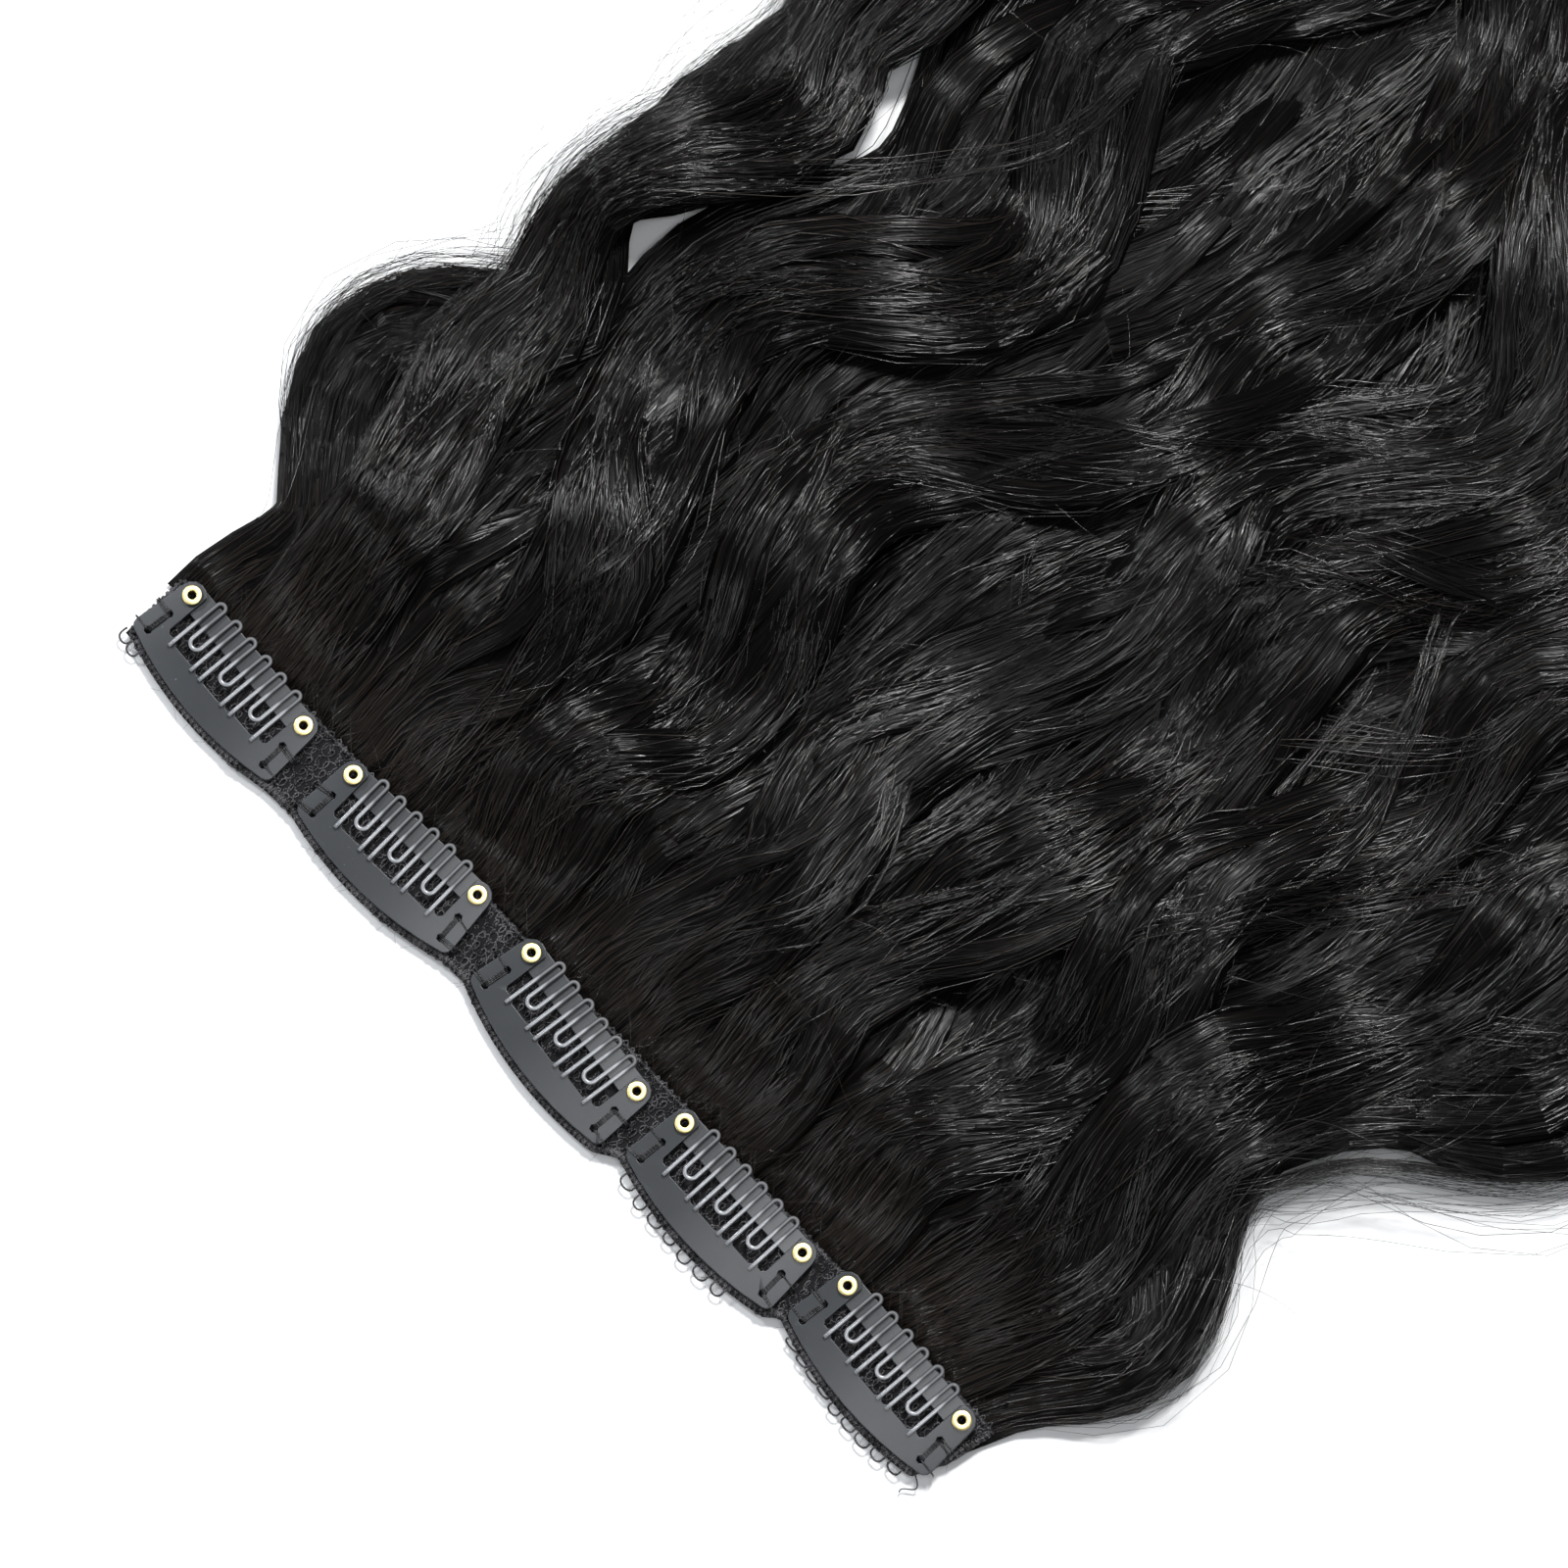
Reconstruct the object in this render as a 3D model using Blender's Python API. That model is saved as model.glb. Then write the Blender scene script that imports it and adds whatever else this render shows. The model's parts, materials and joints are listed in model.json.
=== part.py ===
"""Clip-in hair extension: one weft of wavy hair on a lace band, with a row of five snap clips.

The weft lies on its flat back, clips up. +X runs along the row of clips, +Y is the way the
hair falls and +Z is up. The origin is on the flat back, under the middle of the rivet row.
Each clip is one stamped sheet (a curved spine with two arms) riveted over a crossbar, and
its comb of serpentine teeth lifts off the crossbar about the line of its roots.
"""

import math
from typing import NamedTuple

import bmesh
import bpy
import numpy as np
from mathutils import Matrix, Vector

MM = 0.001

# Clearance between pieces that touch.
GAP = 0.3 * MM

# Row of clips.
CLIP_COUNT = 5
CLIP_SPACE = 4.0 * MM
BAND_END_MARGIN = 0.9 * MM

# Stamped sheet of a clip: spine, arms and holes.
SHEET_THICKNESS = 0.5 * MM
RIVET_SPACING = 26.5 * MM
END_REACH = 3.0 * MM
SPINE_REACH = 12.0 * MM
SPINE_WIDTH = 4.6 * MM
SPINE_RADIUS = 60.0 * MM
SPINE_CORNER = 1.5 * MM
ARM_TIP_RADIUS = 2.3 * MM
ARM_TIP_SWEEP_DEG = 140.0
SLOT_CORNER = 0.45 * MM
STUB_RISE = 0.9 * MM
SEWING_HOLE_RADIUS = 0.6 * MM
SEWING_HOLE_INSET = 2.35 * MM
SEWING_HOLE_SHARES = (0.37, 0.71)

# Comb: three serpentine tooth units of flat wire on each clip.
TOOTH_UNITS = 3
TOOTH_WIDTH = 0.65 * MM
UNIT_PITCH = 7.1 * MM
LEG_REACH = 2.55 * MM
INNER_REACH = 1.05 * MM
COMB_REACH = 3.1 * MM
LOOP_DEPTH = 5.5 * MM
ROOT_LAP = 0.2 * MM
COMB_ARCH = 0.25 * MM

# Crossbar and eyelet rivets.
BAR_WIDTH = 4.2 * MM
BAR_THICKNESS = 0.4 * MM
RIVET_BORE_RADIUS = 0.62 * MM
RIVET_WALL = 0.3 * MM
RIVET_FLANGE_RADIUS = 1.55 * MM
RIVET_FLANGE_THICKNESS = 0.3 * MM
RIVET_SIDES = 10

# Lace band.
LACE_THICKNESS = 1.2 * MM
LACE_MARGIN = 1.0 * MM
LACE_INNER_REACH = 2.4 * MM

# Hair: backing of sewn roots, and two layers of wavy locks.
BACKING_THICKNESS = 1.4 * MM
BACKING_INSET = 1.6 * MM
HAIR_REACH = 300.0 * MM
LOCK_FILL = 0.83
ROOT_FILL = 0.58
LOCK_THICKNESS = 6.0 * MM
ROOT_EMBED = 6.0 * MM
LAYER_GAP = 0.6 * MM
SWELL_START = 5.5 * MM
SWELL_LENGTH = 26.0 * MM
WAVE_LENGTH = 66.0 * MM
WAVE_LIFT = 1.5 * MM
LOCK_SECTIONS = 19
SECTION_CROWDING = 1.25
END_FALL_START = 0.7
END_FALL = 0.6
TIP_TAPER_START = 0.78
TIP_TAPER = 0.65


class ClipPlace(NamedTuple):
    """A clip's shift from its even place, in shares of CLIP_SPACE, and its turn."""

    along: float
    across: float
    turn_deg: float


CLIP_PLACES = (
    ClipPlace(along=-0.10, across=0.15, turn_deg=-3.0),
    ClipPlace(along=0.08, across=0.20, turn_deg=2.4),
    ClipPlace(along=0.58, across=-0.05, turn_deg=-6.2),
    ClipPlace(along=0.18, across=0.00, turn_deg=-1.3),
    ClipPlace(along=-0.25, across=0.12, turn_deg=-3.2),
)


class Lock(NamedTuple):
    """One lock of hair.

    layer is 0 on the floor and 1 above it, width is a share of LOCK_WIDTH and reach one of
    HAIR_REACH. root to end are the lock's sideways places at the shares of HAIR_REACH in
    LOCK_STATIONS, in shares of half the band's length.
    """

    layer: int
    width: float
    reach: float
    root: float
    swell: float
    bulge: float
    tuck: float
    crest: float
    hollow: float
    roll: float
    fall: float
    late: float
    end: float


LOCK_STATIONS = (0.0, 0.08, 0.153, 0.233, 0.32, 0.42, 0.533, 0.667, 0.833, 1.0)

# The six corners of a lock's section, in shares of its half width and half height.
LOCK_RING = ((1, 0), (0.6, 1), (-0.6, 1), (-1, 0), (-0.6, -1), (0.6, -1))

LOCKS = (
    Lock(0, 1.00, 0.97, -0.89, -0.92, -1.05, -0.91, -0.95, -0.91, -1.00, -0.87, -1.00, -0.93),
    Lock(1, 0.85, 0.99, -0.78, -0.81, -0.86, -0.93, -0.93, -0.80, -0.88, -0.74, -0.86, -0.78),
    Lock(0, 1.00, 0.93, -0.64, -0.64, -0.65, -0.63, -0.66, -0.56, -0.67, -0.53, -0.67, -0.58),
    Lock(1, 1.00, 1.00, -0.51, -0.51, -0.56, -0.60, -0.62, -0.44, -0.51, -0.38, -0.51, -0.42),
    Lock(0, 1.00, 0.95, -0.38, -0.38, -0.40, -0.38, -0.40, -0.29, -0.20, -0.27, -0.38, -0.29),
    Lock(1, 1.00, 0.98, -0.24, -0.24, -0.27, -0.29, -0.24, -0.09, 0.07, -0.09, -0.18, -0.09),
    Lock(0, 1.00, 1.00, -0.11, -0.11, -0.11, -0.09, -0.07, 0.04, 0.13, 0.04, -0.07, 0.02),
    Lock(1, 1.00, 0.94, 0.02, 0.03, 0.07, 0.11, 0.13, 0.18, 0.33, 0.16, 0.08, 0.17),
    Lock(0, 1.00, 0.99, 0.16, 0.18, 0.20, 0.22, 0.24, 0.30, 0.42, 0.33, 0.22, 0.31),
    Lock(1, 1.00, 1.00, 0.29, 0.31, 0.36, 0.38, 0.39, 0.44, 0.59, 0.42, 0.34, 0.43),
    Lock(0, 1.00, 0.96, 0.42, 0.44, 0.46, 0.48, 0.51, 0.56, 0.68, 0.60, 0.49, 0.58),
    Lock(1, 1.00, 0.98, 0.56, 0.58, 0.62, 0.64, 0.66, 0.71, 0.85, 0.69, 0.60, 0.69),
    Lock(0, 1.00, 0.94, 0.69, 0.71, 0.72, 0.74, 0.80, 0.84, 0.94, 0.87, 0.76, 0.85),
    Lock(1, 1.00, 0.97, 0.80, 0.87, 0.88, 0.90, 0.96, 1.04, 1.11, 1.02, 0.91, 1.00),
    Lock(0, 1.00, 0.92, 0.89, 1.05, 0.98, 1.00, 1.25, 1.24, 1.20, 1.22, 1.13, 1.18),
)

# Sizes worked out from those above.
CLIP_HALF = RIVET_SPACING / 2 + END_REACH
CLIP_PITCH = 2 * CLIP_HALF + CLIP_SPACE
BAND_HALF = (CLIP_COUNT - 1) / 2 * CLIP_PITCH + CLIP_HALF + BAND_END_MARGIN
# The locks of one layer share the band's length, side by side.
LAYER_PITCH = 4 * BAND_HALF / len(LOCKS)
LOCK_WIDTH = LOCK_FILL * LAYER_PITCH
ROOT_WIDTH = ROOT_FILL * LAYER_PITCH
ROOT_THICKNESS = 0.35 * BACKING_THICKNESS
SPINE_CENTRE_Y = SPINE_RADIUS - SPINE_REACH
LACE_BOTTOM = BACKING_THICKNESS + GAP
LACE_TOP = LACE_BOTTOM + LACE_THICKNESS
BAR_BOTTOM = LACE_TOP + GAP
BAR_TOP = BAR_BOTTOM + BAR_THICKNESS
SHEET_BOTTOM = BAR_TOP + GAP
SHEET_TOP = SHEET_BOTTOM + SHEET_THICKNESS
# The spine comes down to the lace, over the height of the crossbar and its gap.
SHEET_TILT = math.asin((BAR_THICKNESS + GAP) / SPINE_REACH)
RIVET_SHANK_RADIUS = RIVET_BORE_RADIUS + RIVET_WALL
RIVET_HOLE_RADIUS = RIVET_SHANK_RADIUS + GAP
FLANGE_BOTTOM = SHEET_TOP + GAP + RIVET_FLANGE_RADIUS * math.tan(SHEET_TILT)


def clear_scene():
    """Remove every object that the scene starts with."""
    for obj in list(bpy.data.objects):
        bpy.data.objects.remove(obj, do_unlink=True)


def material(name, color, roughness, metallic=0.0):
    """A Principled material with one plain colour."""
    made = bpy.data.materials.new(name)
    made.use_nodes = True
    made.diffuse_color = (*color, 1.0)
    shader = made.node_tree.nodes["Principled BSDF"]
    shader.inputs["Base Color"].default_value = (*color, 1.0)
    shader.inputs["Roughness"].default_value = roughness
    shader.inputs["Metallic"].default_value = metallic
    return made


def add_object(name, mesh, parent=None, location=(0, 0, 0), rotation=(0, 0, 0)):
    """Put a mesh (or None, for an empty) into the scene under its parent."""
    obj = bpy.data.objects.new(name, mesh)
    bpy.context.scene.collection.objects.link(obj)
    obj.parent = parent
    obj.location = location
    obj.rotation_euler = rotation
    return obj


def mesh_from(bm, name, slot, smooth_deg=None):
    """Turn a bmesh into a mesh with outward faces, one material and optional smooth shading."""
    bmesh.ops.recalc_face_normals(bm, faces=bm.faces)
    mesh = bpy.data.meshes.new(name)
    bm.to_mesh(mesh)
    bm.free()
    mesh.materials.append(slot)
    if smooth_deg is not None:
        mesh.shade_smooth()
        mesh.set_sharp_from_angle(angle=math.radians(smooth_deg))
    return mesh


def arc(centre, radius, start_deg, end_deg, steps):
    """Points along an arc, both ends included."""
    angles = [math.radians(start_deg + (end_deg - start_deg) * i / steps) for i in range(steps + 1)]
    return [(centre[0] + radius * math.cos(a), centre[1] + radius * math.sin(a)) for a in angles]


def circle(centre, radius, sides):
    """Points round a full circle."""
    return arc(centre, radius, 0, 360, sides)[:-1]


def cut_sheet(outline, holes, bottom, top):
    """A flat sheet with this outline and these holes, from height bottom to height top."""
    bm = bmesh.new()
    edges = []
    for loop in (outline, *holes):
        verts = [bm.verts.new((x, y, bottom)) for x, y in loop]
        edges += [bm.edges.new((verts[i - 1], verts[i])) for i in range(len(verts))]
    bmesh.ops.triangle_fill(bm, edges=edges, use_beauty=True)
    raised = bmesh.ops.extrude_face_region(bm, geom=list(bm.faces))
    lifted = [item for item in raised["geom"] if isinstance(item, bmesh.types.BMVert)]
    bmesh.ops.translate(bm, verts=lifted, vec=(0, 0, top - bottom))
    return bm


def mirrored(half):
    """A closed outline from its +X half, which runs from the -Y side round to the +Y side."""
    return half + [(-x, y) for x, y in reversed(half) if abs(x) > 1e-9]


def loft(sections):
    """A closed body through rings of equal length, with flat ends."""
    bm = bmesh.new()
    rings = [[bm.verts.new(point) for point in section] for section in sections]
    for ring, following in zip(rings, rings[1:]):
        for i in range(len(ring)):
            bm.faces.new((ring[i - 1], ring[i], following[i], following[i - 1]))
    bm.faces.new(list(reversed(rings[0])))
    bm.faces.new(rings[-1])
    return bm


def arc_y(radius, x):
    """Where an arc about the spine's centre stands at x."""
    return SPINE_CENTRE_Y - math.sqrt(radius**2 - x**2)


def spine_inner_y(x):
    """The spine's inner edge, an arc with the same centre as its outer edge."""
    return arc_y(SPINE_RADIUS - SPINE_WIDTH, x)


def tooth_leg_places():
    """Sideways place of each outer leg on the +X side, from the middle outwards."""
    units = [(i - (TOOTH_UNITS - 1) / 2) * UNIT_PITCH for i in range(TOOTH_UNITS)]
    return sorted(x for unit in units for x in (unit - LEG_REACH, unit + LEG_REACH) if x > 0)


def sheet_outline():
    """The stamped sheet seen from above: spine, rounded ends, arms, slots and finger stubs."""
    corner_x = CLIP_HALF - SPINE_CORNER
    corner_radius = SPINE_RADIUS - SPINE_CORNER
    corner_deg = math.degrees(math.asin(corner_x / corner_radius))
    corner_y = arc_y(corner_radius, corner_x)
    half = arc((0, SPINE_CENTRE_Y), SPINE_RADIUS, -90, corner_deg - 90, 4)
    half += arc((corner_x, corner_y), SPINE_CORNER, corner_deg - 90, 0, 3)[1:]
    half += arc((RIVET_SPACING / 2, 0), ARM_TIP_RADIUS, 0, ARM_TIP_SWEEP_DEG, 5)
    right = half[-1][0]
    for leg in reversed(tooth_leg_places()):
        left = leg + TOOTH_WIDTH / 2
        bottom = spine_inner_y((left + right) / 2)
        half += [
            (right, bottom + SLOT_CORNER),
            (right - SLOT_CORNER, bottom),
            (left + SLOT_CORNER, bottom),
            (left, bottom + SLOT_CORNER),
            (left, bottom + STUB_RISE),
            (left - TOOTH_WIDTH, bottom + STUB_RISE),
        ]
        right = left - TOOTH_WIDTH
    bottom = spine_inner_y(0)
    half += [(right, bottom + SLOT_CORNER), (right - SLOT_CORNER, bottom)]
    return mirrored(half)


def sheet_holes():
    """Rivet holes in the arms and the sewing holes at both ends of the sheet."""
    holes = []
    for side in (-1, 1):
        holes.append(circle((side * RIVET_SPACING / 2, 0), RIVET_HOLE_RADIUS, RIVET_SIDES))
        for share in SEWING_HOLE_SHARES:
            # The sheet's end edge leans out towards the spine, and the holes follow it.
            lean = share * (END_REACH - ARM_TIP_RADIUS)
            x = RIVET_SPACING / 2 + ARM_TIP_RADIUS + lean - SEWING_HOLE_INSET
            holes.append(circle((side * x, -share * SPINE_REACH), SEWING_HOLE_RADIUS, 6))
    return holes


def clip_sheet_mesh(slot):
    """The stamped sheet of one clip, flat, with its underside at height 0."""
    bm = cut_sheet(sheet_outline(), sheet_holes(), 0, SHEET_THICKNESS)
    return mesh_from(bm, "clip_sheet", slot)


def crossbar_mesh(slot):
    """The straight strip under the arms and teeth, with a hole for each rivet."""
    right = (RIVET_SPACING / 2, 0)
    left = (-RIVET_SPACING / 2, 0)
    outline = arc(right, BAR_WIDTH / 2, -90, 90, 6) + arc(left, BAR_WIDTH / 2, 90, 270, 6)
    holes = [circle(centre, RIVET_HOLE_RADIUS, RIVET_SIDES) for centre in (left, right)]
    return mesh_from(cut_sheet(outline, holes, BAR_BOTTOM, BAR_TOP), "crossbar", slot)


def rivet_mesh(slot):
    """A hollow eyelet: a shank through the bar and the arm, with a rolled flange on top."""
    top = FLANGE_BOTTOM + RIVET_FLANGE_THICKNESS
    edge = RIVET_FLANGE_THICKNESS / 2
    profile = (
        (RIVET_BORE_RADIUS, top),
        (RIVET_BORE_RADIUS, BAR_BOTTOM),
        (RIVET_SHANK_RADIUS, BAR_BOTTOM),
        (RIVET_SHANK_RADIUS, FLANGE_BOTTOM),
        (RIVET_FLANGE_RADIUS, FLANGE_BOTTOM),
        (RIVET_FLANGE_RADIUS, top - edge),
        (RIVET_FLANGE_RADIUS - edge, top),
    )
    bm = bmesh.new()
    rings = []
    for i in range(RIVET_SIDES):
        turn = Matrix.Rotation(2 * math.pi * i / RIVET_SIDES, 3, "Z")
        rings.append([bm.verts.new(turn @ Vector((radius, 0, z))) for radius, z in profile])
    for i in range(RIVET_SIDES):
        ring, following = rings[i - 1], rings[i]
        for j in range(len(profile)):
            bm.faces.new((ring[j - 1], ring[j], following[j], following[j - 1]))
    return mesh_from(bm, "rivet", slot, smooth_deg=40)


def tooth_root_y():
    """Where the teeth leave the spine: the lowest slot bottom, under the first slot."""
    return spine_inner_y(0)


def sheet_top_at(y):
    """Height of the tilted sheet's upper face at a distance from the rivet line."""
    return SHEET_BOTTOM + SHEET_THICKNESS / math.cos(SHEET_TILT) + y * math.tan(SHEET_TILT)


def tooth_height(y):
    """Height of a tooth's middle: a low arch from over the spine's edge to over the crossbar."""
    root_y = tooth_root_y() - ROOT_LAP
    share = (y - root_y) / (COMB_REACH - root_y)
    root_z = sheet_top_at(root_y) + GAP + SHEET_THICKNESS / 2
    tip_z = BAR_TOP + GAP + SHEET_THICKNESS / 2
    return root_z + (tip_z - root_z) * share + COMB_ARCH * math.sin(math.pi * share)


def comb_axis():
    """The line that the comb turns about, under the middle of its roots: (y, z)."""
    root_y = tooth_root_y()
    return root_y, tooth_height(root_y) - SHEET_THICKNESS / 2


def tooth_path():
    """Middle line of one serpentine unit: leg, loop, inner U, loop, leg."""
    loop_radius = (LEG_REACH - INNER_REACH) / 2
    loop_y = COMB_REACH - TOOTH_WIDTH / 2 - loop_radius
    inner_y = INNER_REACH + TOOTH_WIDTH / 2 - LOOP_DEPTH
    root_y = tooth_root_y() - ROOT_LAP
    leg = [(-LEG_REACH, root_y + (loop_y - root_y) * i / 4) for i in range(4)]
    loop = arc((-LEG_REACH + loop_radius, loop_y), loop_radius, 180, 0, 4)
    inner = [(-INNER_REACH, loop_y + (inner_y - loop_y) * i / 3) for i in (1, 2)]
    half_u = arc((0, inner_y), INNER_REACH, 180, 270, 2)
    half = leg + loop + inner + half_u
    flat = half + [(-x, y) for x, y in reversed(half[:-1])]
    return [Vector((x, y, tooth_height(y))) for x, y in flat]


def tooth_unit_mesh(slot):
    """One serpentine unit of flat wire, measured from the comb's axis."""
    axis_y, axis_z = comb_axis()
    path = [point - Vector((0, axis_y, axis_z)) for point in tooth_path()]
    sections = []
    for i, point in enumerate(path):
        before = (point - path[max(i - 1, 0)]).normalized()
        after = (path[min(i + 1, len(path) - 1)] - point).normalized()
        tangent = (before + after).normalized()
        side = Vector((0, 0, 1)).cross(tangent).normalized()
        up = tangent.cross(side)
        # At a bend the section is widened, so that the wire keeps its width.
        miter = max((before + after).length / 2, 0.5) if 0 < i < len(path) - 1 else 1.0
        reach = side * (TOOTH_WIDTH / 2 / miter)
        rise = up * (SHEET_THICKNESS / 2)
        sections.append(
            [point - reach - rise, point + reach - rise, point + reach + rise, point - reach + rise]
        )
    return mesh_from(loft(sections), "tooth_unit", slot)


def clip_matrix(index):
    """Place and turn of a clip on the band."""
    place = CLIP_PLACES[index]
    even = (index - (CLIP_COUNT - 1) / 2) * CLIP_PITCH
    offset = Vector((even + place.along * CLIP_SPACE, place.across * CLIP_SPACE, 0))
    return Matrix.Translation(offset) @ Matrix.Rotation(math.radians(place.turn_deg), 4, "Z")


def lace_outline():
    """The band's outline: its outer edge follows each clip's spine, with notches between."""
    points = []
    reach = math.degrees(math.asin(CLIP_HALF / (SPINE_RADIUS + LACE_MARGIN)))
    for index in range(CLIP_COUNT):
        edge = arc((0, SPINE_CENTRE_Y), SPINE_RADIUS + LACE_MARGIN, -90 - reach, -90 + reach, 7)
        points += [(clip_matrix(index) @ Vector((x, y, 0)))[:2] for x, y in edge]
    first_y, last_y = points[0][1], points[-1][1]
    corner = LACE_MARGIN
    points = [point for point in points if abs(point[0]) < BAND_HALF - corner]
    end = [
        (BAND_HALF, last_y + corner),
        (BAND_HALF, LACE_INNER_REACH - corner),
        (BAND_HALF - corner, LACE_INNER_REACH),
    ]
    start = [
        (corner - BAND_HALF, LACE_INNER_REACH),
        (-BAND_HALF, LACE_INNER_REACH - corner),
        (-BAND_HALF, first_y + corner),
    ]
    return points + end + start


def hermite(x, xs, ys):
    """A smooth curve through the points (xs, ys), read at x."""
    xs, ys = np.asarray(xs, float), np.asarray(ys, float)
    slopes = np.gradient(ys, xs)
    i = int(np.clip(np.searchsorted(xs, x) - 1, 0, len(xs) - 2))
    step = xs[i + 1] - xs[i]
    t = (x - xs[i]) / step
    start = (1 + 2 * t) * (1 - t) ** 2 * ys[i] + t * (1 - t) ** 2 * step * slopes[i]
    stop = t**2 * (3 - 2 * t) * ys[i + 1] + t**2 * (t - 1) * step * slopes[i + 1]
    return float(start + stop)


def smoothstep(x):
    """0 below 0, 1 above 1 and an even ease between."""
    t = min(max(x, 0.0), 1.0)
    return t * t * (3 - 2 * t)


def hair_swell(y):
    """How full the hair is: 0 at the band, 1 past the swell, and thinner again at the ends."""
    rise = smoothstep((y - SWELL_START) / SWELL_LENGTH)
    fall = smoothstep((y / HAIR_REACH - END_FALL_START) / (1 - END_FALL_START))
    return rise * (1 - END_FALL * fall)


def lock_middle(lock, y):
    """Middle of a lock at a distance from the band."""
    x = BAND_HALF * hermite(y / HAIR_REACH, LOCK_STATIONS, lock[3:])
    swell = hair_swell(y)
    # Each layer's roots lie in their own half of the backing's thickness.
    root_z = BACKING_THICKNESS * (0.25 + 0.5 * lock.layer)
    full_z = GAP + LOCK_THICKNESS / 2 + lock.layer * (LOCK_THICKNESS + LAYER_GAP)
    wave = WAVE_LIFT * swell * (1 - math.cos(2 * math.pi * y / WAVE_LENGTH)) / 2
    return Vector((x, y, root_z + (full_z - root_z) * swell + wave))


def lock_section_places(lock):
    """Distances of a lock's sections from the band: in the backing, then closer near its edge."""
    edge = LACE_INNER_REACH + GAP
    reach = lock.reach * HAIR_REACH
    shares = [(i / LOCK_SECTIONS) ** SECTION_CROWDING for i in range(LOCK_SECTIONS + 1)]
    return [-ROOT_EMBED] + [edge + (reach - edge) * share for share in shares]


def lock_mesh(lock, slot):
    """A flattened lock with six sides that widens from the band and narrows to its end."""
    reach = lock.reach * HAIR_REACH
    sections = []
    for y in lock_section_places(lock):
        middle = lock_middle(lock, y)
        tangent = lock_middle(lock, y + MM) - lock_middle(lock, y - MM)
        side = Vector((tangent.y, -tangent.x, 0)).normalized()
        swell = hair_swell(y)
        taper = 1 - TIP_TAPER * smoothstep((y / reach - TIP_TAPER_START) / (1 - TIP_TAPER_START))
        half_width = (ROOT_WIDTH + (LOCK_WIDTH * lock.width - ROOT_WIDTH) * swell) / 2 * taper
        half_height = (ROOT_THICKNESS + (LOCK_THICKNESS - ROOT_THICKNESS) * swell) / 2 * taper
        sections.append(
            [
                middle + side * half_width * across + Vector((0, 0, half_height * up))
                for across, up in LOCK_RING
            ]
        )
    return mesh_from(loft(sections), "lock", slot)


def add_hair(slot):
    """The backing of sewn roots with every lock fused into it."""
    half = BAND_HALF - BACKING_INSET
    outer = arc_y(SPINE_RADIUS, CLIP_HALF) + BACKING_INSET
    outline = [(-half, outer), (half, outer), (half, LACE_INNER_REACH), (-half, LACE_INNER_REACH)]
    backing = mesh_from(cut_sheet(outline, [], 0, BACKING_THICKNESS), "hair", slot)
    hair = add_object("hair", backing)
    guides = bpy.data.collections.new("lock_guides")
    bpy.context.scene.collection.children.link(guides)
    for number, lock in enumerate(LOCKS, start=1):
        guide = bpy.data.objects.new(f"lock_guide_{number}", lock_mesh(lock, slot))
        guides.objects.link(guide)
        guide.hide_render = True
        guide.display_type = "WIRE"
    fuse = hair.modifiers.new("fuse_locks", "BOOLEAN")
    fuse.operation = "UNION"
    fuse.solver = "EXACT"
    fuse.operand_type = "COLLECTION"
    fuse.collection = guides
    return hair


def add_clip(index, meshes):
    """One snap clip on its own empty, with its comb on an empty at the hinge line."""
    number = index + 1
    clip = add_object(f"clip_{number}", None)
    clip.matrix_local = clip_matrix(index)
    add_object(f"crossbar_{number}", meshes["crossbar"], clip)
    add_object(
        f"clip_sheet_{number}",
        meshes["sheet"],
        clip,
        location=(0, 0, SHEET_BOTTOM),
        rotation=(SHEET_TILT, 0, 0),
    )
    for side, label in ((-1, "left"), (1, "right")):
        place = (side * RIVET_SPACING / 2, 0, 0)
        add_object(f"rivet_{number}_{label}", meshes["rivet"], clip, location=place)
    comb = add_object(f"comb_{number}", None, clip, location=(0, *comb_axis()))
    for unit in range(TOOTH_UNITS):
        x = (unit - (TOOTH_UNITS - 1) / 2) * UNIT_PITCH
        add_object(f"teeth_{number}_{unit + 1}", meshes["teeth"], comb, location=(x, 0, 0))


def build():
    """Make the whole hair extension."""
    clear_scene()
    black_paint = material("black_paint", (0.035, 0.038, 0.042), 0.38)
    brass = material("pale_brass", (0.80, 0.62, 0.30), 0.25, metallic=1.0)
    lace = material("black_lace", (0.012, 0.011, 0.016), 0.85)
    hair = material("dark_hair", (0.014, 0.011, 0.010), 0.45)
    meshes = {
        "sheet": clip_sheet_mesh(black_paint),
        "crossbar": crossbar_mesh(black_paint),
        "teeth": tooth_unit_mesh(black_paint),
        "rivet": rivet_mesh(brass),
    }
    for index in range(CLIP_COUNT):
        add_clip(index, meshes)
    band = cut_sheet(lace_outline(), [], LACE_BOTTOM, LACE_TOP)
    add_object("lace_band", mesh_from(band, "lace_band", lace))
    add_hair(hair)


build()
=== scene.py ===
"""Looks of the clip-in hair extension: hair, lace, snap clips, finishes, floor, lights, camera.

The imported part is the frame. Its clip sheets and crossbars stay and get rounded edges and a
satin paint. The hair, lace band, eyelets and tooth wires are replaced by finer pieces of the
same form. Lengths are in metres. +X runs along the row of clips, +Y is the way the hair falls.
"""

from __future__ import annotations

import json
import logging
import math
from dataclasses import dataclass, field
from enum import Enum, IntEnum
from typing import Any, NamedTuple

import bpy
import numpy as np
from mathutils import Matrix, Vector


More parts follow.
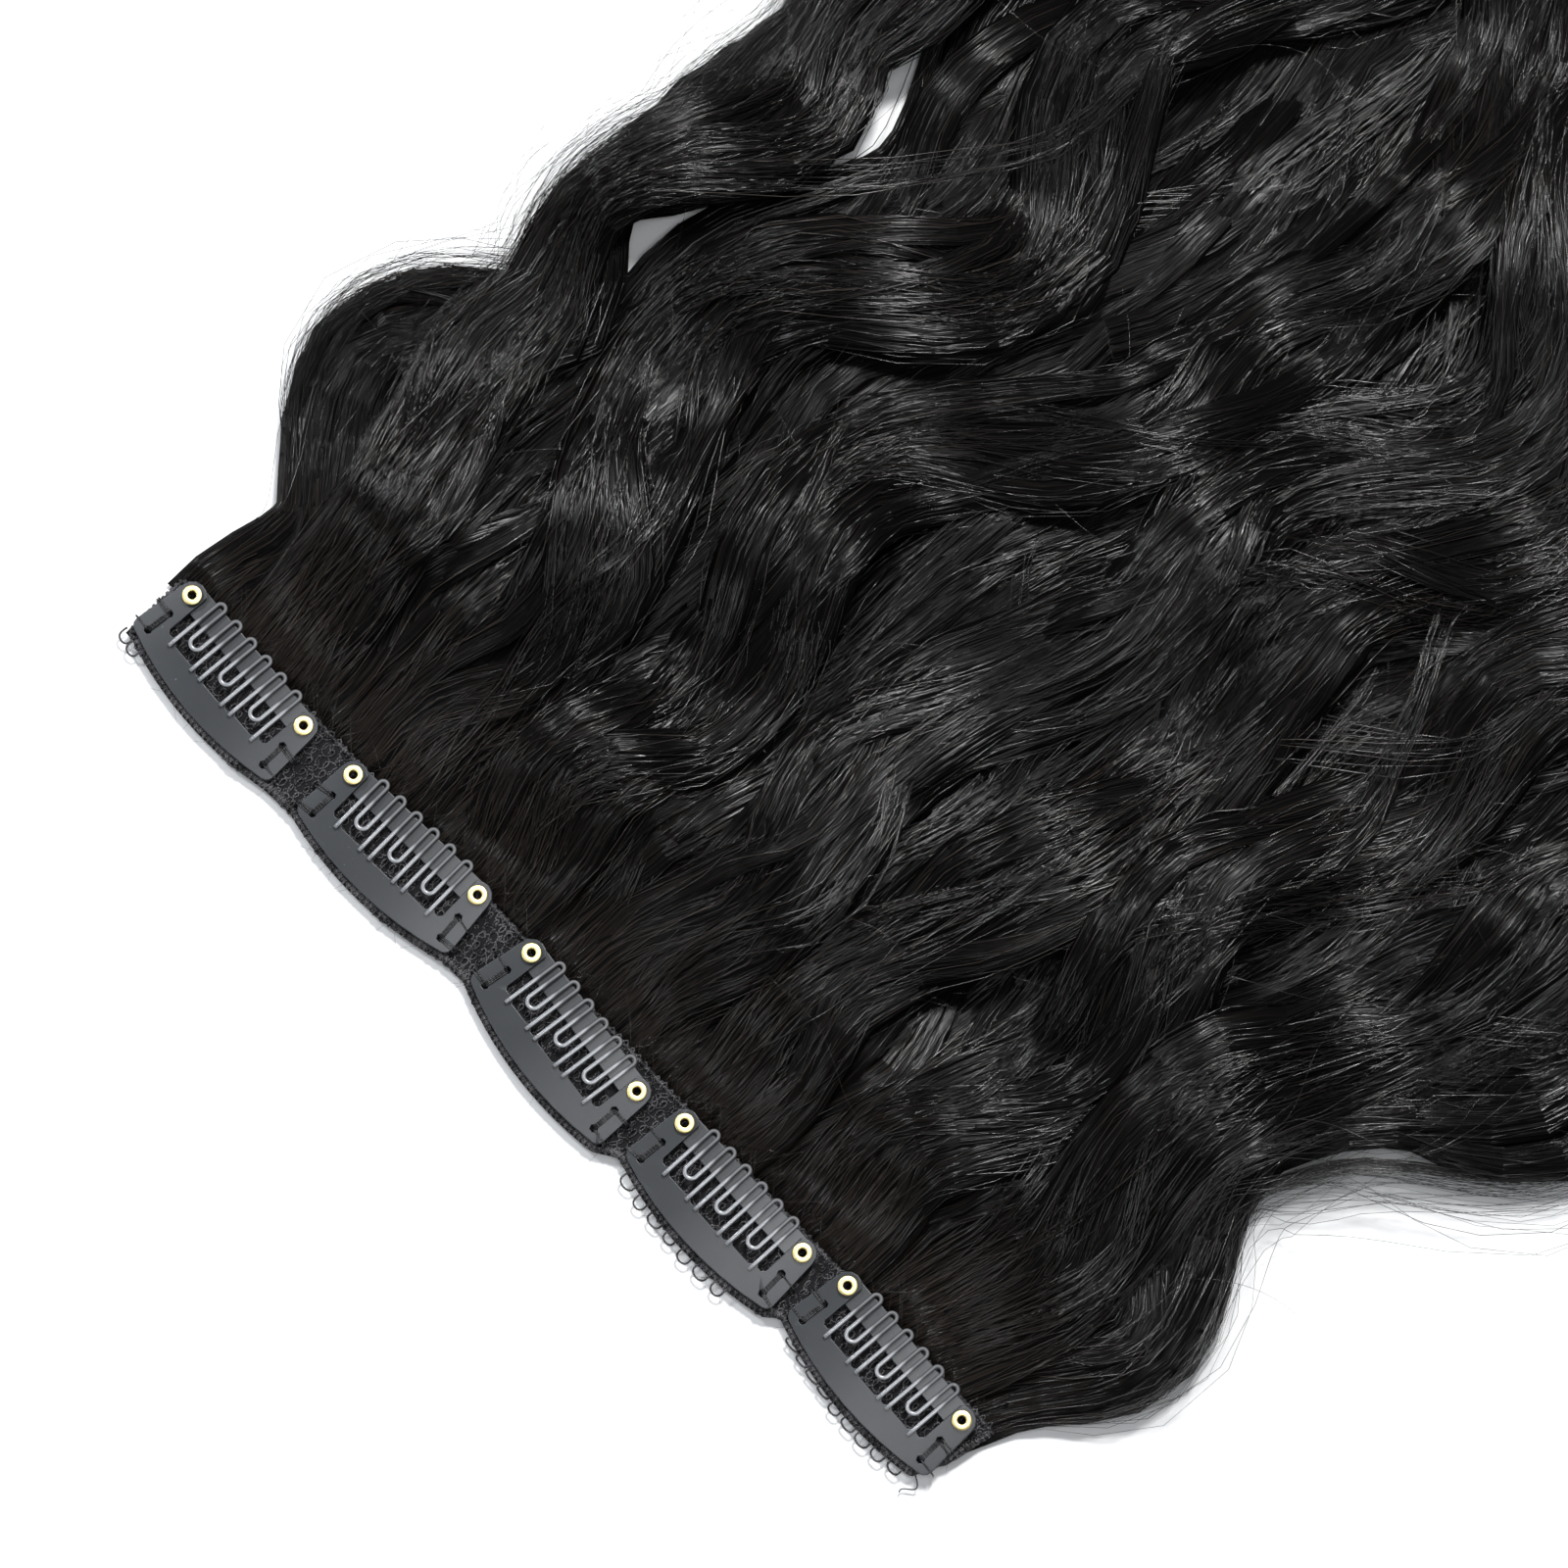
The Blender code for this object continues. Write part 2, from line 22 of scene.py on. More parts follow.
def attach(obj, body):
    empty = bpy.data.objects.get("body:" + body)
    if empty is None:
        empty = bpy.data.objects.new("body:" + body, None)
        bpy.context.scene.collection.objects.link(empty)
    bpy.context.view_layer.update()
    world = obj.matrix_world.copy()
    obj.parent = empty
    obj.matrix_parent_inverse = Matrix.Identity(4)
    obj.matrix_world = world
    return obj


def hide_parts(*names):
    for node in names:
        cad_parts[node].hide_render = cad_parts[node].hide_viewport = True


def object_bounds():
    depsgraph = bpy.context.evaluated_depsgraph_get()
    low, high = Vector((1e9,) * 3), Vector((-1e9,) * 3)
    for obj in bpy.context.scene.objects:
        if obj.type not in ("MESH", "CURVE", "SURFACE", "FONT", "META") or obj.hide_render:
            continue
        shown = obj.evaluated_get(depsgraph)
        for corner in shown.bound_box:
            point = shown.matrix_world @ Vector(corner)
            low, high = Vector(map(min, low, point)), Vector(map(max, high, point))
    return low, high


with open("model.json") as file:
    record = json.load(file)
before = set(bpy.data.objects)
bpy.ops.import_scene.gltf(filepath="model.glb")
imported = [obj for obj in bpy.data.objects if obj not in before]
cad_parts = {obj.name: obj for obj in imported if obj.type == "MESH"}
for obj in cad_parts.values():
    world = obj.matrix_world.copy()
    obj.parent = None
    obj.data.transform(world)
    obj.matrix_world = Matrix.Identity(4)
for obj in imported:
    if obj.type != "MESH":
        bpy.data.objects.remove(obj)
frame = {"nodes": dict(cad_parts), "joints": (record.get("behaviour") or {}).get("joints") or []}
CAD_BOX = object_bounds()

MM = 0.001
SEED = 20
WEFT = "weft"
Z_AXIS = np.array((0.0, 0.0, 1.0))
X_AXIS = np.array((1.0, 0.0, 0.0))

Array = np.ndarray
log = logging.getLogger("hair_extension")


class Slot(Enum):
    """The record's material slots."""

    PAINT = "black_paint"
    BRASS = "pale_brass"
    LACE = "black_lace"
    HAIR = "dark_hair"


# Sizes


@dataclass(frozen=True)
class ClipSizes:
    """A snap clip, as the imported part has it."""

    rivet_spacing: float = 26.5 * MM
    end_reach: float = 3.0 * MM
    spine_reach: float = 12.0 * MM
    spine_width: float = 4.6 * MM
    spine_radius: float = 60.0 * MM
    arm_tip_radius: float = 2.3 * MM
    sheet_thickness: float = 0.5 * MM
    sheet_bottom: float = 3.9 * MM
    sheet_tilt_deg: float = 3.344
    bar_bottom: float = 3.2 * MM
    bar_top: float = 3.6 * MM
    gap: float = 0.3 * MM
    hole_inset: float = 2.35 * MM
    hole_shares: tuple[float, float] = (0.37, 0.71)
    weld: float = 0.001 * MM
    edge_radius: float = 0.15 * MM
    edge_segments: int = 3
    edge_angle_deg: float = 50.0

    @property
    def half(self) -> float:
        """Half the clip's length."""
        return self.rivet_spacing / 2 + self.end_reach

    @property
    def centre_y(self) -> float:
        """Where the spine's arcs have their centre."""
        return self.spine_radius - self.spine_reach

    def arc_y(self, radius: float, x: Array | float) -> Array:
        """Where an arc about the spine's centre stands: y = c - sqrt(r^2 - x^2)."""
        return self.centre_y - np.sqrt(radius**2 - np.square(x))

    def sheet_top(self, y: Array | float) -> Array:
        """Height of the tilted sheet's upper face: z = z0 + y tan(tilt)."""
        tilt = math.radians(self.sheet_tilt_deg)
        return self.sheet_bottom + self.sheet_thickness / math.cos(tilt) + np.tan(tilt) * y


@dataclass(frozen=True)
class CombSizes:
    """The serpentine tooth wires of one clip."""

    units: int = 3
    unit_pitch: float = 7.1 * MM
    wire_width: float = 0.65 * MM
    leg_reach: float = 2.55 * MM
    inner_reach: float = 1.05 * MM
    comb_reach: float = 3.1 * MM
    loop_depth: float = 5.5 * MM
    root_lap: float = 0.2 * MM
    root_sink: float = 0.10 * MM
    root_clear: float = 0.05 * MM
    root_ease: float = 1.3 * MM
    arch: float = 0.25 * MM
    loop_step: float = 0.20 * MM
    leg_points: int = 11
    sides: int = 12
    roundness: float = 2.7


@dataclass(frozen=True)
class EyeletSizes:
    """A hollow eyelet with a rolled flange."""

    bore: float = 0.64 * MM
    wall: float = 0.28 * MM
    flange: float = 1.55 * MM
    flange_bottom: float = 4.79 * MM
    flange_height: float = 0.36 * MM
    sides: int = 36
    step: float = 0.09 * MM


@dataclass(frozen=True)
class SewingSizes:
    """The thread that sews a clip's ends to the lace.

    Strands lie side by side between the holes of an end, and a few run from each hole out over
    the sheet's end.
    """

    rise: float = 0.14 * MM
    through: float = 1.1 * MM
    reach: float = 3.1 * MM
    pair_offsets: tuple[float, ...] = (-0.26 * MM, 0.0, 0.26 * MM)
    most_over_end: int = 3
    over_end_pitch: float = 0.30 * MM
    wander: float = 0.25 * MM
    radius: float = 0.15 * MM
    sides: int = 7


@dataclass(frozen=True)
class BandSizes:
    """The lace band.

    Loop swing and reach are shares of the loops' pitch, each with its wobble. A bar's zigzag
    is its turn from edge to edge, in radians.
    """

    half: float = 90.15 * MM
    inner_reach: float = 2.4 * MM
    margin: float = 1.0 * MM
    corner_cut: float = 4.0 * MM
    bottom: float = 1.7 * MM
    top: float = 2.9 * MM
    ground: float = 0.45 * MM
    ground_swell: float = 0.12 * MM
    swell_rates: tuple[float, float] = (900.0, 311.0)
    backing_top: float = 1.4 * MM
    backing_reach: float = 8.1 * MM
    backing_corner: float = 6.0 * MM
    backing_cut: float = 5.6 * MM
    thread: float = 0.17 * MM
    loop_pitch: float = 1.45 * MM
    loop_swing: tuple[float, float] = (0.42, 0.10)
    loop_reach: tuple[float, float] = (0.62, 0.12)
    loop_depth: float = 0.42 * MM
    loop_rise: float = 0.22 * MM
    loop_wander: float = 0.07 * MM
    rows: int = 8
    row_wander: float = 0.012
    bar_pitch: float = 2.8 * MM
    bar_swing: float = 0.62 * MM
    bar_depth: float = 0.5 * MM
    bar_rise: float = 0.2 * MM
    bar_zigzag: float = 34.0
    picot_halves: tuple[float, float] = (0.95 * MM, 1.25 * MM)
    picot_depths: tuple[float, float] = (1.05 * MM, 1.55 * MM)
    smoothing: int = 7
    edge_points: int = 2600
    edge_turn: float = 0.95 * MM
    edge_inset: float = 0.75 * MM
    edge_radius: float = 0.66 * MM
    tail_length: float = 3.6 * MM
    tail_curl: float = 1.2 * MM
    tail_drift: float = 1.5 * MM
    tail_radius: float = 0.12 * MM
    flat_width: float = 14.4 * MM


@dataclass(frozen=True)
class HairSizes:
    """The hair of the weft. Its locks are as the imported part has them.

    Values in threes are for the lower, upper and under layer, in the order of Layer. Values in
    twos are the least and the greatest of what is drawn.
    """

    start: float = 1.2 * MM
    reach: float = 300.0 * MM
    lock_fill: float = 0.83
    root_fill: float = 0.80
    lock_thickness: float = 6.0 * MM
    under_reach: float = 0.9
    under_width: float = 0.9
    full_heights: tuple[float, float, float] = (3.3 * MM, 8.2 * MM, 2.6 * MM)
    wave_lifts: tuple[float, float, float] = (3.2 * MM, 6.0 * MM, 1.0 * MM)
    swings: tuple[float, float, float] = (0.0, 4.6 * MM, 2.5 * MM)
    swell_start: float = 3.0 * MM
    swell_end: float = 31.5 * MM
    bunches: int = 11
    under_bunches: int = 4
    crossing: int = 36
    bunch_share: float = 0.30
    bunch_wander: float = 0.06
    bunch_heights: tuple[float, float] = (0.15, 0.9)
    bunch_ends: tuple[float, float] = (0.88, 1.0)
    crossing_places: tuple[float, float] = (-0.7, 0.7)
    crossing_heights: tuple[float, float] = (0.85, 1.05)
    end_fall_start: float = 0.7
    end_fall: float = 0.6
    taper_start: float = 0.72
    taper: float = 0.7
    root_heights: tuple[float, float, float] = (0.8 * MM, 1.5 * MM, 0.7 * MM)
    root_thickness: float = 0.9 * MM
    wave_lengths: tuple[float, float] = (52 * MM, 70 * MM)
    swing_lengths: tuple[float, float] = (62 * MM, 98 * MM)
    edge_swing: float = 0.4
    turn_starts: tuple[float, float] = (35 * MM, 190 * MM)
    turn_lengths: tuple[float, float] = (38 * MM, 75 * MM)
    sways: tuple[float, float] = (0.12, 0.46)
    sway_lengths: tuple[float, float] = (42 * MM, 105 * MM)


@dataclass(frozen=True)
class StrandSizes:
    """Single hairs: how many of each kind, and the least and greatest of what is drawn for them.

    The chances are those of a crossing, an upper and a lower bunch to carry a strand.
    """

    combed: int = 900
    loose: int = 900
    fringe: int = 400
    flyaways: int = 520
    fuzz: int = 360
    points: int = 37
    chances: tuple[float, float, float] = (1.7, 1.2, 0.4)
    radii: tuple[float, float] = (0.065 * MM, 0.125 * MM)
    reaches: tuple[float, float] = (0.84, 1.0)
    starts: tuple[float, float] = (0.6 * MM, 2.0 * MM)
    swing_lengths: tuple[float, float] = (35 * MM, 110 * MM)
    strays: tuple[float, float] = (0.05, 0.40)
    lift: float = 0.26 * MM
    least_lift: float = 0.06 * MM
    fringe_radii: tuple[float, float] = (0.032 * MM, 0.06 * MM)
    fringe_reach: float = 7.0 * MM
    fringe_mean: float = 2.0 * MM
    fringe_ease: float = 40.0 * MM
    fringe_inset: float = 0.8 * MM
    flyaway_radii: tuple[float, float] = (0.035 * MM, 0.065 * MM)
    flyaway_room: float = 5.0 * MM
    fuzz_radii: tuple[float, float] = (0.025 * MM, 0.05 * MM)
    fuzz_outer: tuple[float, float] = (1.0 * MM, 3.0 * MM)
    fuzz_inner: tuple[float, float] = (3.0 * MM, 13.0 * MM)


class Layer(IntEnum):
    """Which layer of the hair a lock lies in."""

    LOWER = 0
    UPPER = 1
    UNDER = 2


class Lock(NamedTuple):
    """One lock of hair: its Layer, width, reach and sideways places at STATIONS.

    The width is a share of the full lock's, reach a share of the hair's, and places are
    shares of half the band's length.
    """

    layer: int
    width: float
    reach: float
    places: tuple[float, ...]


# Where the places of a lock are given, as shares of the hair's reach.
STATIONS = np.array((0.0, 0.08, 0.153, 0.233, 0.32, 0.42, 0.533, 0.667, 0.833, 1.0))

LOCKS = (
    Lock(0, 1.00, 0.97, (-0.89, -0.92, -1.05, -0.91, -0.95, -0.91, -1.00, -0.87, -1.00, -0.93)),
    Lock(1, 0.85, 0.99, (-0.78, -0.81, -0.86, -0.93, -0.93, -0.80, -0.88, -0.74, -0.86, -0.78)),
    Lock(0, 1.00, 0.93, (-0.64, -0.64, -0.65, -0.63, -0.66, -0.56, -0.67, -0.53, -0.67, -0.58)),
    Lock(1, 1.00, 1.00, (-0.51, -0.51, -0.56, -0.60, -0.62, -0.44, -0.51, -0.38, -0.51, -0.42)),
    Lock(0, 1.00, 0.95, (-0.38, -0.38, -0.40, -0.38, -0.40, -0.29, -0.20, -0.27, -0.38, -0.29)),
    Lock(1, 1.00, 0.98, (-0.24, -0.24, -0.27, -0.29, -0.24, -0.09, 0.07, -0.09, -0.18, -0.09)),
    Lock(0, 1.00, 1.00, (-0.11, -0.11, -0.11, -0.09, -0.07, 0.04, 0.13, 0.04, -0.07, 0.02)),
    Lock(1, 1.00, 0.94, (0.02, 0.03, 0.07, 0.11, 0.13, 0.18, 0.33, 0.16, 0.08, 0.17)),
    Lock(0, 1.00, 0.99, (0.16, 0.18, 0.20, 0.22, 0.24, 0.30, 0.42, 0.33, 0.22, 0.31)),
    Lock(1, 1.00, 1.00, (0.29, 0.31, 0.36, 0.38, 0.39, 0.44, 0.59, 0.42, 0.34, 0.43)),
    Lock(0, 1.00, 0.96, (0.42, 0.44, 0.46, 0.48, 0.51, 0.56, 0.68, 0.60, 0.49, 0.58)),
    Lock(1, 1.00, 0.98, (0.56, 0.58, 0.62, 0.64, 0.66, 0.71, 0.85, 0.69, 0.60, 0.69)),
    Lock(0, 1.00, 0.94, (0.69, 0.71, 0.72, 0.74, 0.80, 0.84, 0.94, 0.87, 0.76, 0.85)),
    Lock(1, 1.00, 0.97, (0.80, 0.87, 0.88, 0.90, 0.96, 1.04, 1.11, 1.02, 0.91, 1.00)),
    Lock(0, 1.00, 0.92, (0.89, 1.05, 0.98, 1.00, 1.25, 1.24, 1.20, 1.22, 1.13, 1.18)),
)


# Where each under lock lies between two lower locks: the share of the first one's place.
UNDER_SHARES = (0.25, 0.5, 0.5, 0.5, 0.5, 0.5, 0.5)


class PicotRow(NamedTuple):
    """A row of picot loops on one clip's stretch of the edge, in millimetres of the clip.

    Reach is how far its loops stand out, as a share of a full loop.
    """

    clip: int
    first: float
    last: float
    count: int
    reach: float


PICOTS = (
    PicotRow(0, -15.4, -13.2, 2, 1.0),
    PicotRow(3, -12.5, 8.5, 7, 1.0),
    PicotRow(4, -12.0, -3.5, 4, 0.45),
    PicotRow(4, -0.5, 12.0, 5, 1.0),
)


class Pinch(NamedTuple):
    """Where a lock draws in or moves aside over a stretch, in millimetres of the part.

    Its width shrinks by the share narrow and its middle moves by aside, both most at y.
    """

    lock: int
    y: float
    spread: float
    narrow: float
    aside: float


PINCHES = (
    Pinch(0, 5.0, 9.0, 0.0, -1.0),
    Pinch(0, 23.0, 13.0, 0.12, 3.4),
    Pinch(14, 13.0, 10.0, 0.10, -2.6),
    Pinch(0, 54.0, 9.0, 0.0, -1.5),
    Pinch(0, 72.0, 8.0, 0.14, 4.5),
    Pinch(1, 72.0, 9.0, 0.10, 4.0),
    Pinch(0, 103.0, 8.0, 0.10, 1.4),
    Pinch(13, 54.0, 15.0, 0.0, -2.5),
    Pinch(14, 54.0, 15.0, 0.12, -5.4),
    Pinch(14, 80.0, 12.0, 0.10, -2.0),
    Pinch(0, 88.0, 15.0, 0.42, -3.5),
    Pinch(1, 88.0, 15.0, 0.40, -4.0),
    Pinch(2, 78.0, 24.0, -0.12, -4.0),
    Pinch(0, 133.0, 11.0, 0.20, 0.5),
    Pinch(1, 133.0, 9.0, 0.14, -5.0),
    Pinch(2, 126.0, 20.0, 0.0, -4.0),
)


# Numbers and curves


def smoothstep(x: Array | float) -> Array:
    """An even ease: t^2 (3 - 2t) with t = x held between 0 and 1."""
    t = np.clip(x, 0.0, 1.0)
    return t * t * (3 - 2 * t)


def unit(vectors: Array) -> Array:
    """Vectors made one long: v / |v|."""
    return vectors / np.maximum(np.linalg.norm(vectors, axis=-1, keepdims=True), 1e-12)


def along_path(path: Array) -> Array:
    """Distance along each path [..., point, xyz] from its start, in metres.

    Args:
        path: points [..., point, xyz].

    Returns:
        Distances [..., point].
    """
    steps = np.linalg.norm(np.diff(path, axis=-2), axis=-1)
    return np.concatenate([np.zeros_like(steps[..., :1]), np.cumsum(steps, axis=-1)], axis=-1)


def resample(path: Array, count: int) -> Array:
    """The same path with count points evenly apart: p(s) at equal steps of arc length s.

    Args:
        path: points [point, axis].
        count: how many points are wanted.

    Returns:
        Points [count, axis], first and last as before.
    """
    distance = along_path(path)
    wanted = np.linspace(0.0, distance[-1], count)
    return np.stack([np.interp(wanted, distance, path[:, i]) for i in range(path.shape[1])], axis=1)


def arc_points(
    centre: tuple[float, float], radius: float, start_deg: float, end_deg: float, step: float
) -> Array:
    """Points c + r (cos a, sin a) along an arc, about one step apart.

    Args:
        centre: c, in metres.
        radius: r, in metres.
        start_deg: where the arc starts.
        end_deg: where it ends, on either side.
        step: distance between points, in metres.

    Returns:
        Points [point, xy].
    """
    count = max(3, int(abs(math.radians(end_deg - start_deg)) * radius / step) + 2)
    angles = np.radians(np.linspace(start_deg, end_deg, count))
    return np.stack([centre[0] + radius * np.cos(angles), centre[1] + radius * np.sin(angles)], 1)


def tangents(path: Array) -> Array:
    """Direction of each path at its points: the mean of the two steps that meet there.

    Args:
        path: points [..., point, xyz].

    Returns:
        Directions of the same shape, one long.
    """
    step = unit(np.diff(path, axis=-2))
    inner = unit(step[..., 1:, :] + step[..., :-1, :])
    return np.concatenate([step[..., :1, :], inner, step[..., -1:, :]], axis=-2)


# Shapes


@dataclass
class Shape:
    """A mesh in the making.

    points are [point, xyz], faces are blocks [face, corner] of one corner count each, uvs
    hold metres for every face corner, and tone is a number from 0 to 1 for every point.
    """

    points: Array
    faces: list[Array]
    uvs: list[Array]
    tone: Array

    def __add__(self, other: Shape) -> Shape:
        """Both shapes as one.

        Args:
            other: the shape whose points and faces follow this one's.

        Returns:
            A new shape.
        """
        moved = [block + len(self.points) for block in other.faces]
        return Shape(
            np.concatenate([self.points, other.points]),
            self.faces + moved,
            self.uvs + other.uvs,
            np.concatenate([self.tone, other.tone]),
        )

    def mesh(self, name: str) -> bpy.types.Mesh:
        """The Blender mesh, smooth, with its UV map and its tone attribute.

        Args:
            name: the mesh's name.

        Returns:
            The mesh, not yet linked to an object.
        """
        made = bpy.data.meshes.new(name)
        corners = np.concatenate([block.ravel() for block in self.faces])
        sizes = np.concatenate([np.full(len(block), block.shape[1]) for block in self.faces])
        starts = np.concatenate([[0], np.cumsum(sizes)[:-1]])
        made.vertices.add(len(self.points))
        made.vertices.foreach_set("co", self.points.astype(np.float32).ravel())
        made.loops.add(len(corners))
        made.loops.foreach_set("vertex_index", corners.astype(np.int32))
        made.polygons.add(len(sizes))
        made.polygons.foreach_set("loop_start", starts.astype(np.int32))
        made.update(calc_edges=True)
        made.shade_smooth()
        layer = made.uv_layers.new(name="UVMap")
        places = np.concatenate([block.reshape(-1, 2) for block in self.uvs])
        layer.uv.foreach_set("vector", places.astype(np.float32).ravel())
        tone = made.attributes.new("tone", "FLOAT", "POINT")
        tone.data.foreach_set("value", self.tone.astype(np.float32))
        made.validate()
        return made


def loft(rings: Array, tone: Array | float = 0.5, closed: bool = False) -> Shape:
    """Closed bodies through rings: the point at (row, column) is rings[body, row, column].

    Args:
        rings: points [body, row, column, xyz], each ring counterclockwise seen from ahead.
        tone: one number for all bodies, or one for each.
        closed: the last ring meets the first one, as on a torus, so there are no end caps.

    Returns:
        The shape, with u round the ring and v along the rows, both in metres.
    """
    bodies, rows, columns, _ = rings.shape
    index = np.arange(bodies * rows * columns).reshape(bodies, rows, columns)
    turned = np.roll(index, -1, axis=2)
    if closed:
        near, near_next = index, turned
        far, far_next = np.roll(index, -1, axis=1), np.roll(turned, -1, axis=1)
    else:
        near, near_next, far, far_next = index[:, :-1], turned[:, :-1], index[:, 1:], turned[:, 1:]
    quads = np.stack([near, near_next, far_next, far], axis=-1).reshape(-1, 4)
    girth = np.linalg.norm(rings - np.roll(rings, -1, axis=2), axis=-1).sum(axis=2).max(axis=1)
    u = girth[:, None, None] * (np.arange(columns + 1) / columns)
    middle = rings.mean(axis=2)
    v = along_path(np.concatenate([middle, middle[:, :1]], axis=1) if closed else middle)
    u_near = np.broadcast_to(u[..., :-1], near.shape)
    u_far = np.broadcast_to(u[..., 1:], near.shape)
    v_near = np.broadcast_to(v[:, :-1, None], near.shape)
    v_far = np.broadcast_to(v[:, 1:, None], near.shape)
    uv = np.stack(
        [
            np.stack([u_near, v_near], -1),
            np.stack([u_far, v_near], -1),
            np.stack([u_far, v_far], -1),
            np.stack([u_near, v_far], -1),
        ],
        axis=-2,
    ).reshape(-1, 4, 2)
    faces, uvs = [quads], [uv]
    if not closed:
        for ring, height in ((index[:, 0, ::-1], v[:, 0]), (index[:, -1], v[:, -1])):
            faces.append(ring)
            cap_u = np.broadcast_to(u[:, 0, :-1], ring.shape)
            uvs.append(np.stack([cap_u, np.broadcast_to(height[:, None], ring.shape)], -1))
    tones = np.broadcast_to(np.reshape(tone, (-1, 1)), (bodies, rows * columns))
    return Shape(rings.reshape(-1, 3), faces, uvs, np.ascontiguousarray(tones).ravel())


def ring_shares(sides: int, roundness: float = 2.0) -> Array:
    """A superellipse's corners: (|cos a|^(2/n) sgn cos a, |sin a|^(2/n) sgn sin a), n = roundness.

    Args:
        sides: how many corners.
        roundness: n, 2 for an ellipse, more for a squarer ring.

    Returns:
        Shares [corner, 2] of half the width and half the height.
    """
    angles = 2 * math.pi * (np.arange(sides) + 0.5) / sides
    cosine, sine = np.cos(angles), np.sin(angles)
    power = 2 / roundness
    return np.stack(
        [np.sign(cosine) * np.abs(cosine) ** power, np.sign(sine) * np.abs(sine) ** power], axis=1
    )


def tube(
    paths: Array,
    half_width: Array | float,
    half_height: Array | float | None = None,
    sides: int = 6,
    reference: Array = Z_AXIS,
    roundness: float = 2.0,
    tone: Array | float = 0.5,
) -> Shape:
    """Tubes along paths: P + S w c + U h s, with S = R x T, U = T x S and (c, s) round the ring.

    Args:
        paths: middle lines [body, row, xyz].
        half_width: w, across the reference R, for all points or for each.
        half_height: h, towards the reference, the same as w if left out.
        sides: corners of a ring.
        reference: R, one direction or one for each point, never along the path.
        roundness: 2 for an ellipse, more for a squarer ring.
        tone: one number for all tubes, or one for each.

    Returns:
        One shape with every tube, closed at both ends.
    """
    ahead = tangents(paths)
    side = unit(np.cross(np.broadcast_to(reference, ahead.shape), ahead))
    up = np.cross(ahead, side)
    width = np.broadcast_to(half_width, paths.shape[:2])[..., None, None]
    chosen = half_width if half_height is None else half_height
    height = np.broadcast_to(chosen, paths.shape[:2])[..., None, None]
    shares = ring_shares(sides, roundness)
    rings = paths[..., None, :] + side[..., None, :] * width * shares[:, :1]
    return loft(rings + up[..., None, :] * height * shares[:, 1:], tone)


@dataclass(frozen=True)
class Piece:
    """A finished mesh to be put into the scene: what it is, rides on and stands for."""

    name: str
    shape: Shape
    finish: bpy.types.Material
    slot: Slot
    body: str = WEFT
    replaces: tuple[str, ...] = ()

    def place(self) -> bpy.types.Object:
        """Make the object at the origin, parent it to its body's empty and hide the parts it
        replaces.

        Returns:
            The object, linked to the scene.
        """
        mesh = self.shape.mesh(self.name)
        mesh.materials.append(self.finish)
        made = bpy.data.objects.new(self.name, mesh)
        bpy.context.scene.collection.objects.link(made)
        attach(made, self.body)
        if self.replaces:
            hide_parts(*self.replaces)
        triangles = sum((block.shape[1] - 2) * len(block) for block in self.shape.faces)
        log.info("%s: %d triangles on %s", self.name, triangles, self.body)
        return made


# Materials


@dataclass(frozen=True)
class Signal:
    """A socket of a material that takes part in sums: a + b, 2 * a, 1 - a, a ** 2."""

    graph: Graph
    socket: bpy.types.NodeSocket

    def _math(self, operation: str, first: Any, second: Any) -> Signal:
        """One Math node."""
        return self.graph.node("ShaderNodeMath", {"operation": operation}, {0: first, 1: second})

    def __add__(self, other: Signal | float) -> Signal:
        """a + b."""
        return self._math("ADD", self, other)

    def __radd__(self, other: float) -> Signal:
        """a + b with a number first."""
        return self._math("ADD", other, self)

    def __sub__(self, other: Signal | float) -> Signal:
        """a - b."""
        return self._math("SUBTRACT", self, other)

    def __rsub__(self, other: float) -> Signal:
        """a - b with a number first."""
        return self._math("SUBTRACT", other, self)

    def __mul__(self, other: Signal | float) -> Signal:
        """a b."""
        return self._math("MULTIPLY", self, other)

    def __rmul__(self, other: float) -> Signal:
        """a b with a number first."""
        return self._math("MULTIPLY", other, self)

    def __pow__(self, other: Signal | float) -> Signal:
        """a to the power b."""
        return self._math("POWER", self, other)

    def eased(self, low: float, high: float) -> Signal:
        """0 below low, 1 above high, with an even ease between."""
        settings = {"interpolation_type": "SMOOTHSTEP"}
        return self.graph.node("ShaderNodeMapRange", settings, {0: self, 1: low, 2: high})


